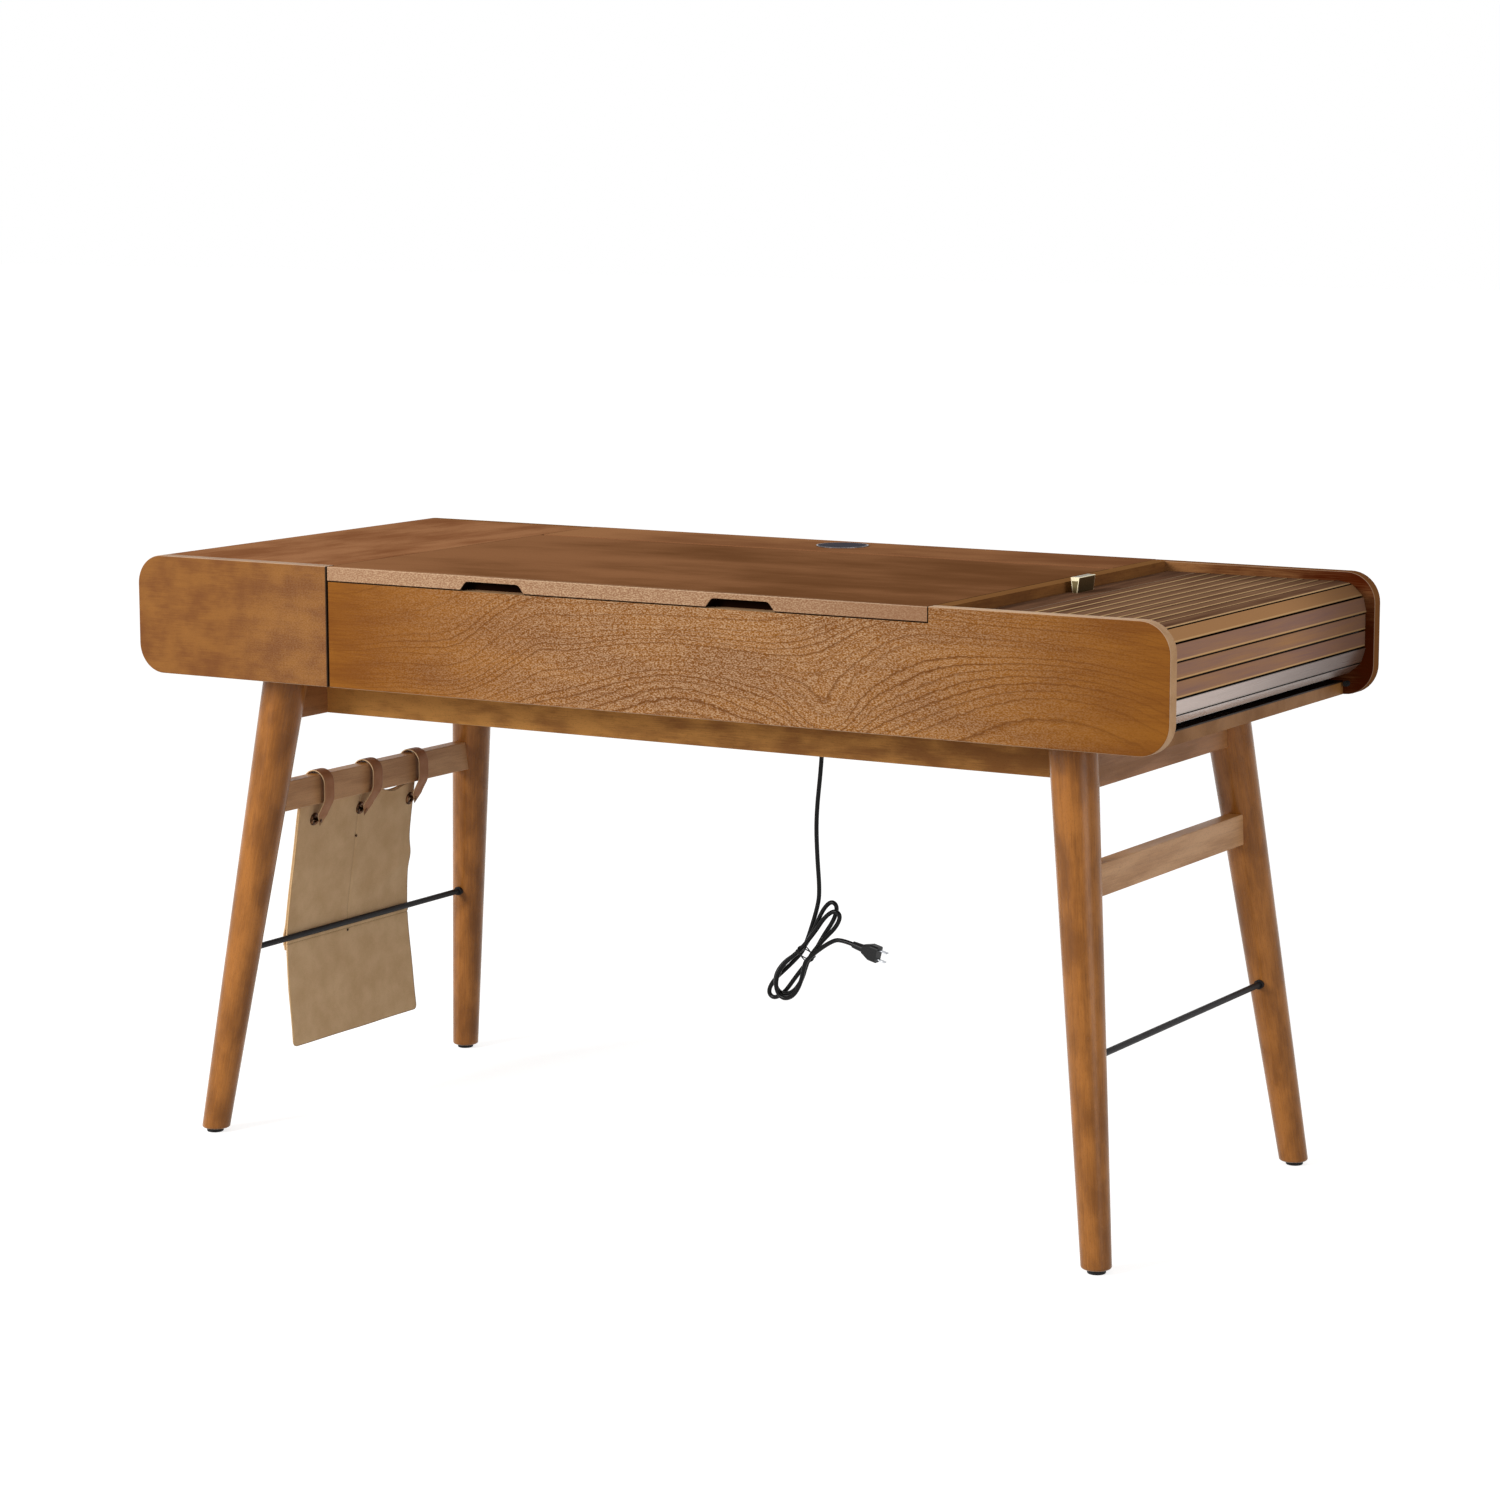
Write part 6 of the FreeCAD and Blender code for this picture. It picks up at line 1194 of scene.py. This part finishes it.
def pressed(profile, starts):
    """Turned piece at each start: a profile of (distance from the axis, distance along it) carried round an
    axis that points out through the hung panel."""
    radius, along = np.array(profile).T
    angle = np.linspace(0, 2 * np.pi, PRESSED_SIDES, endpoint=False)
    spokes = np.cos(angle)[:, None] * BACKWARDS + np.sin(angle)[:, None] * np.cross(HANG_OUT, BACKWARDS)
    shape = radius[:, None, None] * spokes[None] + along[:, None, None] * HANG_OUT
    return np.array(starts)[:, None, None, :] + shape[None]


def domed(head, shank, long):
    """Profile of a rivet: a quarter-round head at each end of a straight shank."""
    turn = np.linspace(0, np.pi / 2, DOME_STEPS)
    near = np.column_stack([head * np.sin(turn), -DOME_SHARE * head * np.cos(turn)])
    far = np.column_stack([head * np.cos(turn), long + DOME_SHARE * head * np.sin(turn)])
    return np.concatenate([near, [(shank, SHANK_GAP), (shank, long - SHANK_GAP)], far])


dark_bronze = plated("dark_bronze", BRONZE_TONES, rough=0.4, brush_mm=0.6, patch_mm=5.0)
ring_turn = np.linspace(0, 2 * np.pi, RING_STEPS)
ring_middle, ring_half = (EYELET_OUTER + EYELET_INNER) / 2, (EYELET_OUTER - EYELET_INNER) / 2
ring = np.column_stack([ring_middle + ring_half * np.cos(ring_turn),
                        EYELET_MIDDLE + EYELET_HALF * np.sin(ring_turn)])
stud = domed(STUD_HEAD, STUD_SHANK, STUD_LENGTH)
rivet = domed(RIVET_HEAD, RIVET_SHANK, RIVET_LENGTH)
stud_starts = [(STUD_FROM[0], y, STUD_FROM[1]) for y in EYELET_YS]
eyelet_starts = [(EYELET_X, y, z) for y, z in zip(EYELET_YS, EYELET_HEIGHTS)]
rivet_starts = [(hang(height) + RIVET_GAP, SEAM_AT, height) for height in RIVET_HEIGHTS]
for name, profile, starts, cad_name in (("pouch_stud_set", stud, stud_starts, "pouch_studs"),
                                        ("pouch_eyelet_set", ring, eyelet_starts, "pouch_eyelets"),
                                        ("pouch_seam_rivets", rivet, rivet_starts, None)):
    piece = grid_piece(name, pressed(profile, starts), dark_bronze, round_columns=True)
    if cad_name:
        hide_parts(cad_name)
    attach(piece, "pouch")
